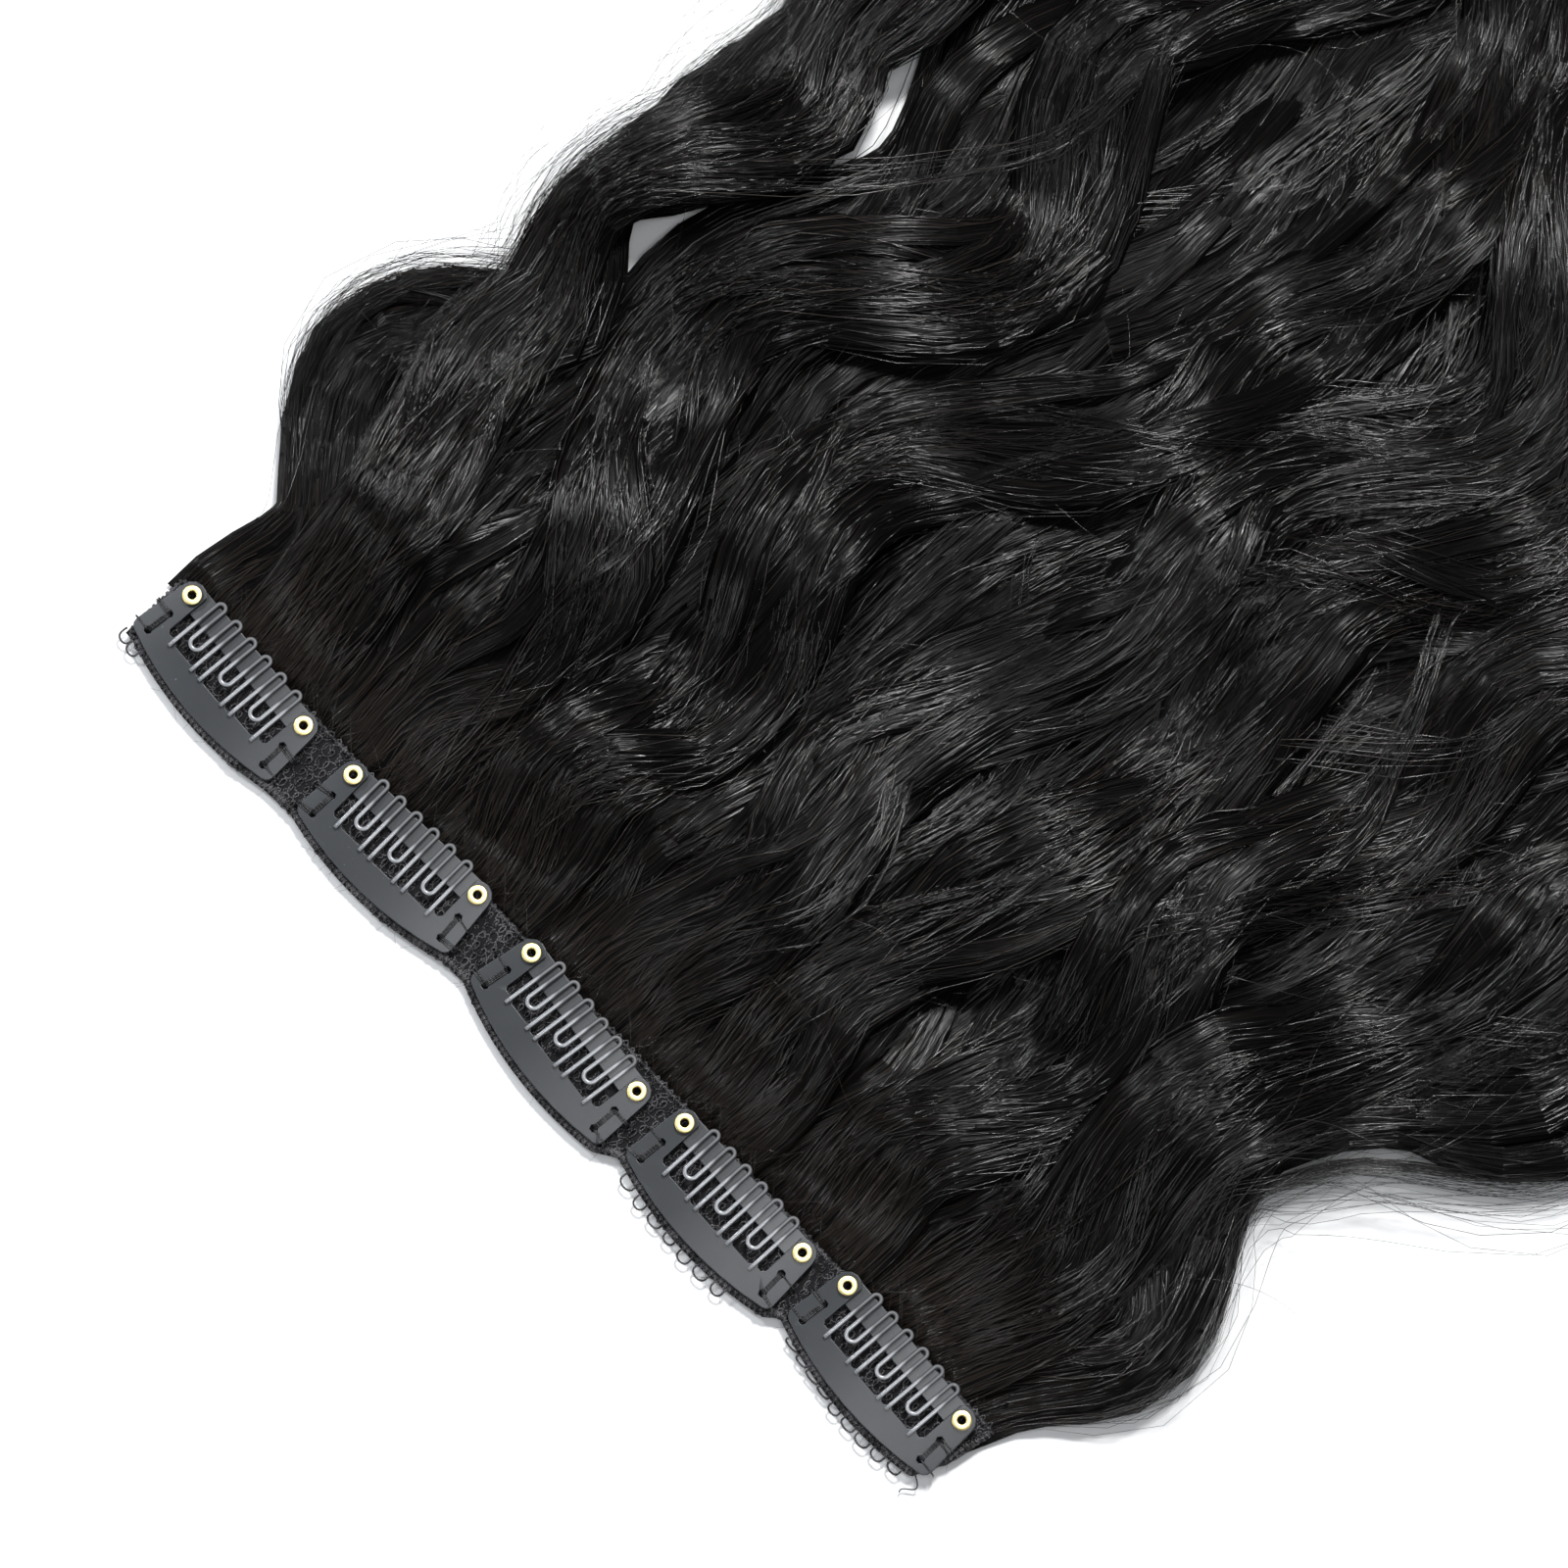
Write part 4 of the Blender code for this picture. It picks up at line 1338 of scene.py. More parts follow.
class LaceBand:
    """The crocheted lace strip: a thin ground, rows of loops, an overlocked edge and picots."""

    def __init__(self, sizes: BandSizes, clips: list[Clip]) -> None:
        """Work out the band's outer edge from the clips' places.

        Args:
            sizes: the band's sizes.
            clips: the clips in order of x.
        """
        self.sizes = sizes
        self.clips = clips
        radius = clips[0].sizes.spine_radius + sizes.margin
        reach = math.asin(clips[0].sizes.half / radius)
        angles = np.linspace(-reach, reach, 41)
        arc = np.column_stack(
            [radius * np.sin(angles), clips[0].sizes.centre_y - radius * np.cos(angles)]
        )
        local = np.column_stack([arc, np.zeros(len(arc))])
        edge = np.concatenate([clip.frame.to_part(local)[:, :2] for clip in clips])
        x = edge[:, 0]
        self.edge = edge[(x > sizes.margin - sizes.half) & (x < sizes.half - sizes.corner_cut)]
        slant = (sizes.half - 0.4 * sizes.corner_cut, self.edge[-1, 1] / 2)
        self.corner = np.array([slant, (sizes.half, sizes.inner_reach)])

    def outer_y(self, x: Array) -> Array:
        """The outer edge's y at x, read off the clips' arcs and the slanted far corner."""
        whole = np.concatenate([self.edge, self.corner])
        return np.interp(x, whole[:, 0], whole[:, 1])

    def outline(self, count: int) -> Array:
        """The whole outline, closed and evenly stepped, its corners rounded by averaging.

        Args:
            count: how many points are wanted.

        Returns:
            Points [count, xy], counterclockwise.
        """
        size = self.sizes
        left = [(-size.half, size.inner_reach), (-size.half, self.edge[0, 1] + size.margin)]
        whole = np.concatenate([self.edge, self.corner, left, self.edge[:1]])
        even = resample(whole, count + 1)[:-1]
        window = size.smoothing
        around = np.concatenate([even[-window:], even, even[:window]])
        kernel = np.full(2 * window + 1, 1 / (2 * window + 1))
        return np.stack([np.convolve(around[:, i], kernel, "valid") for i in range(2)], axis=1)

    def ground_piece(self, finish: bpy.types.Material) -> Piece:
        """The thin ground: a rounded flat section from outer to inner edge, swept along x.

        Args:
            finish: the piece's material.

        Returns:
            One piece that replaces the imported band.
        """
        size = self.sizes
        x = np.linspace(-size.half + 0.3 * MM, size.half - 0.3 * MM, 241)
        low, high = self.outer_y(x) - 0.1 * MM, np.full_like(x, size.inner_reach)
        ring = ring_shares(16, 5.0)
        middle, half = (low + high) / 2, (high - low) / 2
        height = size.bottom + size.ground
        first, second = size.swell_rates
        swell = size.ground_swell * np.sin(x * first) * np.sin(x * second + 1)
        y = middle[:, None] + half[:, None] * ring[:, 0]
        z = height + swell[:, None] + size.ground / 2 * ring[:, 1]
        rings = np.stack([np.broadcast_to(x[:, None], y.shape), y, z], axis=-1)
        return Piece("lace_ground", loft(rings[None]), finish, Slot.LACE, replaces=("lace_band",))

    def loop_rows(self, rng: np.random.Generator) -> Array:
        """Rows of crochet loops: x = p t - a sin 2 pi t, y = m(x) + b cos 2 pi t.

        Args:
            rng: where the random draws come from.

        Returns:
            Middle lines [row, point, xyz].
        """
        size = self.sizes
        turns = int(2 * size.half / size.loop_pitch) - 1
        t = np.linspace(0, turns, turns * 8 + 1)
        levels = (np.arange(size.rows) + 0.55) / size.rows
        knots = np.arange(turns + 2)
        wobble = rng.normal(0, 1, (4, size.rows, len(knots)))
        smooth = np.array([[np.interp(t, knots, row) for row in block] for block in wobble])
        swing = size.loop_pitch * (size.loop_swing[0] + size.loop_swing[1] * smooth[0])
        reach = size.loop_pitch * (size.loop_reach[0] + size.loop_reach[1] * smooth[1])
        phase = rng.uniform(0, 1, (size.rows, 1))
        angle = 2 * math.pi * (t + phase)
        start = -size.half + 0.9 * MM
        x = start + size.loop_pitch * t - swing * np.sin(angle)
        level = levels[:, None] + size.row_wander * smooth[2]
        outer = self.outer_y(x)
        y = outer + (size.inner_reach - outer) * level + reach * np.cos(angle)
        rise = size.loop_rise * np.sin(angle + 0.9)
        z = size.top - size.loop_depth + rise + size.loop_wander * smooth[3]
        return np.stack([x, y, z], axis=-1)

    def cross_bars(self, rng: np.random.Generator) -> Array:
        """Threads that zigzag from the outer edge to the inner one across the rows.

        Args:
            rng: where the random draws come from.

        Returns:
            Middle lines [bar, point, xyz].
        """
        size = self.sizes
        count = int(2 * size.half / size.bar_pitch)
        start = np.linspace(-size.half + 1.5 * MM, size.half - 1.5 * MM, count)[:, None]
        share = np.linspace(0.02, 0.98, 28)
        x = start + size.bar_swing * np.sin(share * size.bar_zigzag + rng.uniform(0, 6, (count, 1)))
        outer = self.outer_y(x)
        y = outer + (size.inner_reach - outer) * share
        z = size.top - size.bar_depth + size.bar_rise * np.sin(2 * share * size.bar_zigzag + 1)
        return np.stack([x, y, np.broadcast_to(z, x.shape)], axis=-1)

    def stitches_piece(self, finish: bpy.types.Material, rng: np.random.Generator) -> Piece:
        """The loops and the bars as one piece of thread.

        Args:
            finish: the piece's material.
            rng: where the random draws come from.

        Returns:
            One piece of thread.
        """
        thread = self.sizes.thread
        shape = tube(self.loop_rows(rng), thread, sides=4)
        shape += tube(self.cross_bars(rng), 0.8 * thread, sides=4)
        return Piece("lace_stitches", shape, finish, Slot.LACE)

    def edge_piece(self, finish: bpy.types.Material) -> Piece:
        """The overlocked edge: two threads wound round the outline over a filler cord.

        Args:
            finish: the piece's material.

        Returns:
            One piece with both threads and the cord.
        """
        size = self.sizes
        count = size.edge_points
        flat = self.outline(count)
        closing = np.concatenate([flat[-1:], flat, flat[:1]])
        ahead = unit(closing[2:] - closing[:-2])
        out = np.column_stack([ahead[:, 1], -ahead[:, 0], np.zeros(count)])
        distance = along_path(np.concatenate([flat, flat[:1]]))
        turns = round(distance[-1] / size.edge_turn)
        angle = 2 * math.pi * turns * distance[:-1] / distance[-1]
        heavy = 1 - 0.45 * smoothstep((flat[:, 1] + 3 * MM) / (4 * MM))
        middle = np.column_stack([flat, np.full(count, (size.bottom + size.top) / 2)])
        middle = middle - out * size.edge_inset * heavy[:, None]
        shape = None
        for handed, offset in ((1, 0.0), (-1, 1.3)):
            around = handed * angle + offset
            radius = size.edge_radius * heavy
            path = middle + out * (radius * np.cos(around))[:, None]
            path = path + Z_AXIS * (0.85 * radius * np.sin(around))[:, None]
            reference = np.column_stack([ahead, np.zeros(count)])
            wound = tube(path[None], size.thread * 1.15, sides=4, reference=reference)
            shape = wound if shape is None else shape + wound
        cord = tube(middle[::4][None], 0.5 * MM * heavy[::4], 0.42 * MM * heavy[::4], sides=6)
        return Piece("lace_edge", shape + cord, finish, Slot.LACE)

    def picots_piece(self, finish: bpy.types.Material, rng: np.random.Generator) -> Piece:
        """Loops that stand out from the outer edge: (w cos a, -d sin a) about places on it.

        Args:
            finish: the piece's material.
            rng: where the random draws come from.

        Returns:
            One piece with every loop of PICOTS.
        """
        size = self.sizes
        clip_sizes = self.clips[0].sizes
        paths = []
        for row in PICOTS:
            for x in np.linspace(row.first * MM, row.last * MM, row.count):
                half = rng.uniform(*size.picot_halves)
                depth = row.reach * rng.uniform(*size.picot_depths)
                angle = np.linspace(-0.25, math.pi + 0.25, 19)
                flat = np.abs(np.sin(angle)) ** 0.75 * np.sign(np.sin(angle))
                local_x = x + half * np.cos(angle) * (1 + 0.25 * np.sin(angle))
                edge = clip_sizes.arc_y(clip_sizes.spine_radius + size.margin, x)
                local_y = edge - 0.1 * MM - depth * flat
                z = size.bottom + 0.6 * MM - 0.5 * MM * np.clip(np.sin(angle), 0, 1)
                local = np.column_stack([local_x, local_y, z])
                paths.append(self.clips[row.clip].frame.to_part(local))
        shape = tube(np.stack(paths), size.thread * 0.95, sides=7)
        return Piece("lace_picots", shape, finish, Slot.LACE)

    def tail_piece(self, finish: bpy.types.Material) -> Piece:
        """The edge thread's loose end at the band's far corner.

        Args:
            finish: the piece's material.

        Returns:
            One short thread.
        """
        size = self.sizes
        share = np.linspace(0, 1, 24)
        corner = size.half - size.corner_cut
        x = corner + size.tail_curl * np.sin(share * 5) + size.tail_drift * share
        start = float(self.outer_y(np.array([corner]))[0])
        y = start + 0.4 * MM - size.tail_length * share
        z = size.bottom + 0.4 * MM - 1.0 * MM * smoothstep(share * 1.5)
        path = np.column_stack([x, y, z])
        return Piece("lace_tail", tube(path[None], size.tail_radius, sides=6), finish, Slot.LACE)

    def build(self, finishes: Finishes, rng: np.random.Generator) -> list[bpy.types.Object]:
        """Place every piece of the band: the ground first, then its trims.

        Args:
            finishes: the part's materials.
            rng: where the random draws come from.

        Returns:
            The ground, then its trims.
        """
        return [
            self.ground_piece(finishes.ground).place(),
            self.stitches_piece(finishes.lace, rng).place(),
            self.edge_piece(finishes.lace).place(),
            self.picots_piece(finishes.lace, rng).place(),
            self.tail_piece(finishes.lace).place(),
        ]


class HairField:
    """Where the hair runs: lock, then bunch, then strand, at any distance from the band.

    Most bunches stay in one lock. The crossing ones leave it for another lock on their way.
    """

    def __init__(self, band: BandSizes, sizes: HairSizes, rng: np.random.Generator) -> None:
        """Lay out the locks, then draw the bunches of each and those that cross between locks.

        Args:
            band: the lace band's sizes.
            sizes: the hair's sizes.
            rng: where the random draws come from.
        """
        self.band = band
        self.sizes = sizes
        places = np.array([lock.places for lock in LOCKS])
        lower = np.flatnonzero([lock.layer == Layer.LOWER for lock in LOCKS])
        share = np.array(UNDER_SHARES)[:, None]
        under = places[lower[:-1]] * share + places[lower[1:]] * (1 - share)
        layers = [lock.layer for lock in LOCKS]
        reaches = [lock.reach for lock in LOCKS]
        widths = [lock.width for lock in LOCKS]
        count = len(under)
        self.places = band.half * np.concatenate([places, under])
        self.slopes = np.gradient(self.places, STATIONS, axis=1)
        self.layer = np.array(layers + [Layer.UNDER] * count, int)
        self.reach = sizes.reach * np.array(reaches + [sizes.under_reach] * count)
        self.width = np.array(widths + [sizes.under_width] * count)
        self.pitch = 4 * band.half / len(LOCKS)
        total = len(self.places)
        self.wave_length = rng.uniform(*sizes.wave_lengths, total)
        self.wave_phase = rng.uniform(0, 2 * math.pi, total)
        self.swing = np.array(sizes.swings)[self.layer]
        self.swing[[1, len(LOCKS) - 2]] *= sizes.edge_swing
        self.swing_length = rng.uniform(*sizes.swing_lengths, total)
        self.swing_phase = rng.uniform(0, 2 * math.pi, total)
        self._draw_bunches(rng)

    def _draw_bunches(self, rng: np.random.Generator) -> None:
        """Draw where every bunch lies in its lock, how it sways and where it crosses over.

        Args:
            rng: where the random draws come from.
        """
        sizes, cross = self.sizes, self.sizes.crossing
        counts = np.where(self.layer == Layer.UNDER, sizes.under_bunches, sizes.bunches)
        lock = np.repeat(np.arange(len(self.places)), counts)
        own = len(lock)
        start = rng.integers(1, len(LOCKS) - 1, cross)
        goal = np.clip(start + rng.choice((-2, 2, -1, 1), cross), 0, len(LOCKS) - 1)
        self.bunch_lock = np.concatenate([lock, start])
        self.bunch_goal = np.concatenate([lock, goal])
        even = np.concatenate([np.linspace(-0.8, 0.8, count) for count in counts])
        own_places = even + rng.normal(0, sizes.bunch_wander, own)
        self.across = np.concatenate([own_places, rng.uniform(*sizes.crossing_places, cross)])
        own_heights = rng.uniform(*sizes.bunch_heights, own)
        self.up = np.concatenate([own_heights, rng.uniform(*sizes.crossing_heights, cross)])
        total = own + cross
        self.turn_at = rng.uniform(*sizes.turn_starts, total)
        self.turn_over = rng.uniform(*sizes.turn_lengths, total)
        self.end = rng.uniform(*sizes.bunch_ends, total)
        self.sway = rng.uniform(*sizes.sways, (3, total))
        self.sway_length = rng.uniform(*sizes.sway_lengths, (3, total))
        self.sway_phase = rng.uniform(0, 2 * math.pi, (3, total))

    def swell(self, y: Array) -> Array:
        """How full the hair is: an ease from 0 to 1, then down by end_fall to the ends.

        Args:
            y: distances from the band, in metres.

        Returns:
            Fullness of the same shape.
        """
        sizes = self.sizes
        rise = smoothstep((y - sizes.swell_start) / (sizes.swell_end - sizes.swell_start))
        fall = smoothstep((y / sizes.reach - sizes.end_fall_start) / (1 - sizes.end_fall_start))
        return rise * (1 - sizes.end_fall * fall)

    def pinched(self, lock: Array, y: Array) -> tuple[Array, Array]:
        """How much narrower a lock is and how far aside: sums of exp(-((y - y0) / spread)^2).

        Args:
            lock: the lock of each point.
            y: its distance from the band.

        Returns:
            The share of its width that a lock keeps, and its move aside in metres.
        """
        narrow, aside = np.zeros(y.shape), np.zeros(y.shape)
        for pinch in PINCHES:
            here = np.exp(-(((y / MM - pinch.y) / pinch.spread) ** 2)) * (lock == pinch.lock)
            narrow = narrow + pinch.narrow * here
            aside = aside + pinch.aside * MM * here
        return 1 - narrow, aside

    def sideways(self, lock: Array, y: Array) -> Array:
        """A lock's x: the Hermite curve through its places plus a swing a sin(2 pi y / L + p).

        Args:
            lock: the lock of each point.
            y: its distance from the band.

        Returns:
            x of the same shape.
        """
        share = y / self.sizes.reach
        span = np.clip(np.searchsorted(STATIONS, share) - 1, 0, len(STATIONS) - 2)
        step = STATIONS[span + 1] - STATIONS[span]
        t = (share - STATIONS[span]) / step
        rows = np.broadcast_to(lock, share.shape)
        start = (1 + 2 * t) * (1 - t) ** 2 * self.places[rows, span]
        start = start + t * (1 - t) ** 2 * step * self.slopes[rows, span]
        stop = t**2 * (3 - 2 * t) * self.places[rows, span + 1]
        stop = stop + t**2 * (t - 1) * step * self.slopes[rows, span + 1]
        turn = 2 * math.pi * y / self.swing_length[lock] + self.swing_phase[lock]
        swung = self.swing[lock] * np.sin(turn) * self.swell(y)
        return start + stop + swung + self.pinched(lock, y)[1]

    def lock_middle(self, lock: Array, y: Array) -> Array:
        """Middle line: x from its places, z from layer, swell and w (1 - cos(2 pi y / L + p)) / 2.

        Args:
            lock: the lock of each point.
            y: its distance from the band.

        Returns:
            Points [..., xyz].
        """
        sizes = self.sizes
        layer = self.layer[lock]
        swell = self.swell(y)
        root = np.array(sizes.root_heights)[layer]
        full = np.array(sizes.full_heights)[layer]
        lift = np.array(sizes.wave_lifts)[layer]
        turn = 2 * math.pi * y / self.wave_length[lock] + self.wave_phase[lock]
        height = root + (full - root + lift * (1 - np.cos(turn)) / 2) * swell
        return np.stack([self.sideways(lock, y), y, height], axis=-1)

    def lock_half(self, lock: Array, y: Array) -> tuple[Array, Array]:
        """Half width and half thickness of a lock, tapered towards its end.

        Args:
            lock: the lock of each point.
            y: its distance from the band.

        Returns:
            Half width and half thickness, in metres.
        """
        sizes = self.sizes
        swell = self.swell(y)
        end = self.reach[lock]
        late = smoothstep((y / end - sizes.taper_start) / (1 - sizes.taper_start))
        taper = 1 - sizes.taper * late
        root = sizes.root_fill * self.pitch
        full = sizes.lock_fill * self.pitch * self.width[lock]
        width = (root + (full - root) * swell) / 2 * taper * self.pinched(lock, y)[0]
        thin = sizes.root_thickness
        return width, (thin + (sizes.lock_thickness - thin) * swell) / 2 * taper

    def bunch_middle(self, bunch: Array, y: Array) -> Array:
        """A bunch's middle line: the lock's, moved by a w across and b h up, both swaying.

        Args:
            bunch: the bunch of each point.
            y: its distance from the band.

        Returns:
            Points [..., xyz].
        """
        lock, goal = self.bunch_lock[bunch], self.bunch_goal[bunch]
        turn = 2 * math.pi * y / self.sway_length[:, bunch] + self.sway_phase[:, bunch]
        swayed = self.sway[:, bunch] * np.sin(turn) * self.swell(y)
        across = np.clip(self.across[bunch] + swayed[0] + 0.5 * swayed[1], -0.80, 0.80)
        up = self.up[bunch] * np.sqrt(1 - 0.7 * across**2) + 1.1 * swayed[2]
        passed = smoothstep((y - self.turn_at[bunch]) / self.turn_over[bunch])[..., None]
        middle = self.lock_middle(lock, y) * (1 - passed) + self.lock_middle(goal, y) * passed
        ahead = self.lock_middle(lock, y + MM) - self.lock_middle(lock, y - MM)
        side = unit(np.stack([ahead[..., 1], -ahead[..., 0], np.zeros_like(y)], axis=-1))
        width, height = self.lock_half(lock, y)
        return middle + side * (across * width)[..., None] + Z_AXIS * (up * height)[..., None]

    def bunch_half(self, bunch: Array, y: Array) -> tuple[Array, Array]:
        """Half width and half thickness of a bunch: its lock's share, f (1 + 0.42 sin).

        Args:
            bunch: the bunch of each point.
            y: its distance from the band.

        Returns:
            Half width and half thickness, in metres.
        """
        width, height = self.lock_half(self.bunch_lock[bunch], y)
        turn = 2 * math.pi * y / (1.7 * self.sway_length[1, bunch]) + self.sway_phase[2, bunch]
        size = 1 + 0.42 * np.sin(turn) * self.swell(y)
        return self.sizes.bunch_share * size * width, 0.15 * MM + 0.17 * size * height

    def bunch_frame(self, bunch: Array, y: Array) -> tuple[Array, Array, Array]:
        """Middle line, side and up directions: S = T x Z, U = S x T leaned out with S.

        Args:
            bunch: the bunch of each point.
            y: its distance from the band.

        Returns:
            C, S and U, each [..., xyz].
        """
        middle = self.bunch_middle(bunch, y)
        ahead = unit(self.bunch_middle(bunch, y + MM) - self.bunch_middle(bunch, y - MM))
        side = unit(np.cross(ahead, Z_AXIS))
        lean = 0.6 * self.across[bunch] * self.swell(y)
        up = unit(np.cross(side, ahead) + side * lean[..., None])
        return middle, np.cross(ahead, up), up

    def strand(self, bunch: Array, y: Array, across: Array, lift: Array) -> Array:
        """A strand on its bunch: C + S w e + U (h sqrt(1 - e^2) + lift).

        Args:
            bunch: the bunch of each point.
            y: its distance from the band.
            across: e, from -1 to 1 over the bunch.
            lift: height over it, in metres.

        Returns:
            Points [..., xyz].
        """
        middle, side, up = self.bunch_frame(bunch, y)
        width, height = self.bunch_half(bunch, y)
        bow = height * np.sqrt(np.clip(1 - across**2, 0.0, 1.0)) + lift
        return middle + side * (across * width)[..., None] + up * bow[..., None]


class Hair:
    """The hair of the weft: sewn backing, locks, bunches and single strands."""

    def __init__(self, field_: HairField, strands: StrandSizes, rng: np.random.Generator) -> None:
        """Keep the field that every piece follows.

        Args:
            field_: where locks, bunches and strands run.
            strands: the single hairs' sizes.
            rng: where the random draws come from.
        """
        self.field = field_
        self.strands = strands
        self.rng = rng

    def backing_piece(self, finish: bpy.types.Material) -> Piece:
        """The strip of sewn roots: a rounded flat section swept along x, cut back at the far end.

        Args:
            finish: the piece's material.

        Returns:
            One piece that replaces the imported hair.
        """
        band = self.field.band
        half = band.half - 1.6 * MM
        x = np.linspace(-half, half, 61)
        ring = ring_shares(20, 6.0)
        cut = smoothstep((x - half + band.backing_corner) / band.backing_corner)[:, None]
        low = -band.backing_reach + band.backing_cut * cut
        high = band.inner_reach + 0.3 * MM
        y = (low + high) / 2 + (high - low) / 2 * ring[:, 0]
        z = np.broadcast_to(band.backing_top / 2 * (1 + ring[:, 1]), y.shape)
        rings = np.stack([np.broadcast_to(x[:, None], y.shape), y, z], axis=-1)
        shape = loft(rings[None], tone=0.4)
        return Piece("hair_backing", shape, finish, Slot.HAIR, replaces=("hair",))

    def build(self, finishes: Finishes, lace: LaceBand) -> bpy.types.Object:
        """Place every piece of the hair, from the backing to the fuzz.

        Args:
            finishes: the part's materials.
            lace: the band that the hair is sewn to.

        Returns:
            The backing, on which the lace rests.
        """
        backing = self.backing_piece(finishes.mass).place()
        self.cores_piece(finishes.mass).place()
        locks = self.field.bunch_lock
        crossing = locks != self.field.bunch_goal
        upper = self.field.layer[locks] == Layer.UPPER
        low, top = np.flatnonzero(~upper & ~crossing), np.flatnonzero(upper & ~crossing)
        self.bunches_piece("hair_bunches_low", low, finishes.mass).place()
        self.bunches_piece("hair_bunches_top", top, finishes.mass).place()
        over, above, below = self.strands.chances
        chance = np.where(crossing, over, np.where(upper, above, below))
        kinds = (("combed", self.strands.combed, 1.0), ("loose", self.strands.loose, 1.9))
        for kind, count, loose in kinds:
            chosen = self.rng.choice(len(locks), count, p=chance / chance.sum())
            self.strand_piece(f"hair_strands_{kind}", chosen, finishes.strands, loose).place()
        self.fringe_piece(finishes.strands, self.strands.fringe).place()
        self.flyaway_piece(finishes.strands, self.strands.flyaways).place()
        self.fuzz_piece(finishes.strands, lace, self.strands.fuzz).place()
        return backing

    def cores_piece(self, finish: bpy.types.Material) -> Piece:
        """A plain inner body for each lock, which keeps light from showing through.

        Args:
            finish: the piece's material.

        Returns:
            One piece with a body for every lock.
        """
        hair = self.field
        lock = np.arange(len(hair.places))[:, None]
        share = np.linspace(0, 1, 44)
        start = hair.sizes.start
        y = start + (0.93 * hair.reach[lock] - start) * share
        width, height = hair.lock_half(lock, y)
        close = np.sqrt(np.clip((1 - share) / 0.15, 0.02, 1.0))
        middle = hair.lock_middle(lock, y)
        shape = tube(middle, 0.78 * width * close, 0.6 * height * close, 10, tone=0.2)
        return Piece("hair_cores", shape, finish, Slot.HAIR)

    def bunches_piece(self, name: str, chosen: Array, finish: bpy.types.Material) -> Piece:
        """Bunches as flattened closed bodies: C + S w cos a + U h sin a.

        Args:
            name: the piece's name.
            chosen: the bunches it holds.
            finish: the piece's material.

        Returns:
            One piece with a body for every bunch.
        """
        hair = self.field
        bunch = chosen[:, None]
        rows, columns = 46, 10
        share = np.linspace(0, 1, rows) ** 1.12
        reach = hair.reach[hair.bunch_lock[bunch]] * hair.end[bunch]
        start = hair.sizes.start
        y = start + (reach - start) * share
        middle, side, up = hair.bunch_frame(bunch, y)
        width, height = hair.bunch_half(bunch, y)
        close = np.sqrt(np.clip((1 - share) / 0.22, 0.01, 1.0))
        angle = 2 * math.pi * (np.arange(columns) + 0.5) / columns
        rings = middle[..., None, :]
        rings = rings - side[..., None, :] * ((width * close)[..., None] * np.cos(angle))[..., None]
        rings = rings + up[..., None, :] * ((height * close)[..., None] * np.sin(angle))[..., None]
        tone = self.rng.uniform(0, 1, len(chosen))
        return Piece(name, loft(rings, tone), finish, Slot.HAIR)

    def strand_tubes(self, paths: Array, radius: Array, thinning: float, tone: Array) -> Shape:
        """Three-sided tubes of radius r (1 - 0.55 s^6) (1 - k s) (0.35 + 0.65 ease(14 s)).

        Args:
            paths: middle lines [strand, point, xyz].
            radius: r of each strand.
            thinning: k, the share that is lost towards the end.
            tone: the tone of each strand.

        Returns:
            One shape with every strand.
        """
        share = np.linspace(0, 1, paths.shape[1])
        fine = (1 - 0.55 * share**6) * (1 - thinning * share)
        fine = fine * (0.35 + 0.65 * smoothstep(share * 14))
        return tube(paths, radius[:, None] * fine, sides=3, tone=tone)

    def strand_piece(
        self, name: str, chosen: Array, finish: bpy.types.Material, loose: float
    ) -> Piece:
        """Strands that lie on their bunches from the band to the ends.

        Args:
            name: the piece's name.
            chosen: the bunch of each strand.
            finish: the strands' material.
            loose: how far strands stray from their bunch, 1 for combed hair.

        Returns:
            One piece with every strand.
        """
        rng, hair, sizes = self.rng, self.field, self.strands
        count = len(chosen)
        bunch = chosen[:, None]
        share = np.linspace(0, 1, sizes.points) ** 1.18
        reach = hair.reach[hair.bunch_lock[bunch]] * rng.uniform(*sizes.reaches, (count, 1))
        start = rng.uniform(*sizes.starts, (count, 1))
        y = start + (reach - start) * share
        length = rng.uniform(*sizes.swing_lengths, (2, count, 1))
        turn = 2 * math.pi * y / length + rng.uniform(0, 2 * math.pi, (2, count, 1))
        stray = loose * rng.uniform(*sizes.strays, (count, 1))
        across = rng.uniform(-1.05, 1.05, (count, 1)) + stray * np.sin(turn[0])
        lift = np.abs(rng.normal(0, sizes.lift * loose, (count, 1))) + sizes.least_lift
        lift = lift * (1 + 0.9 * np.sin(turn[1])) * hair.swell(y + 6 * MM)
        paths = hair.strand(bunch, y, across, lift)
        radius = rng.uniform(*sizes.radii, count)
        shape = self.strand_tubes(paths, radius, 0.35, rng.uniform(0, 1, count))
        return Piece(name, shape, finish, Slot.HAIR)

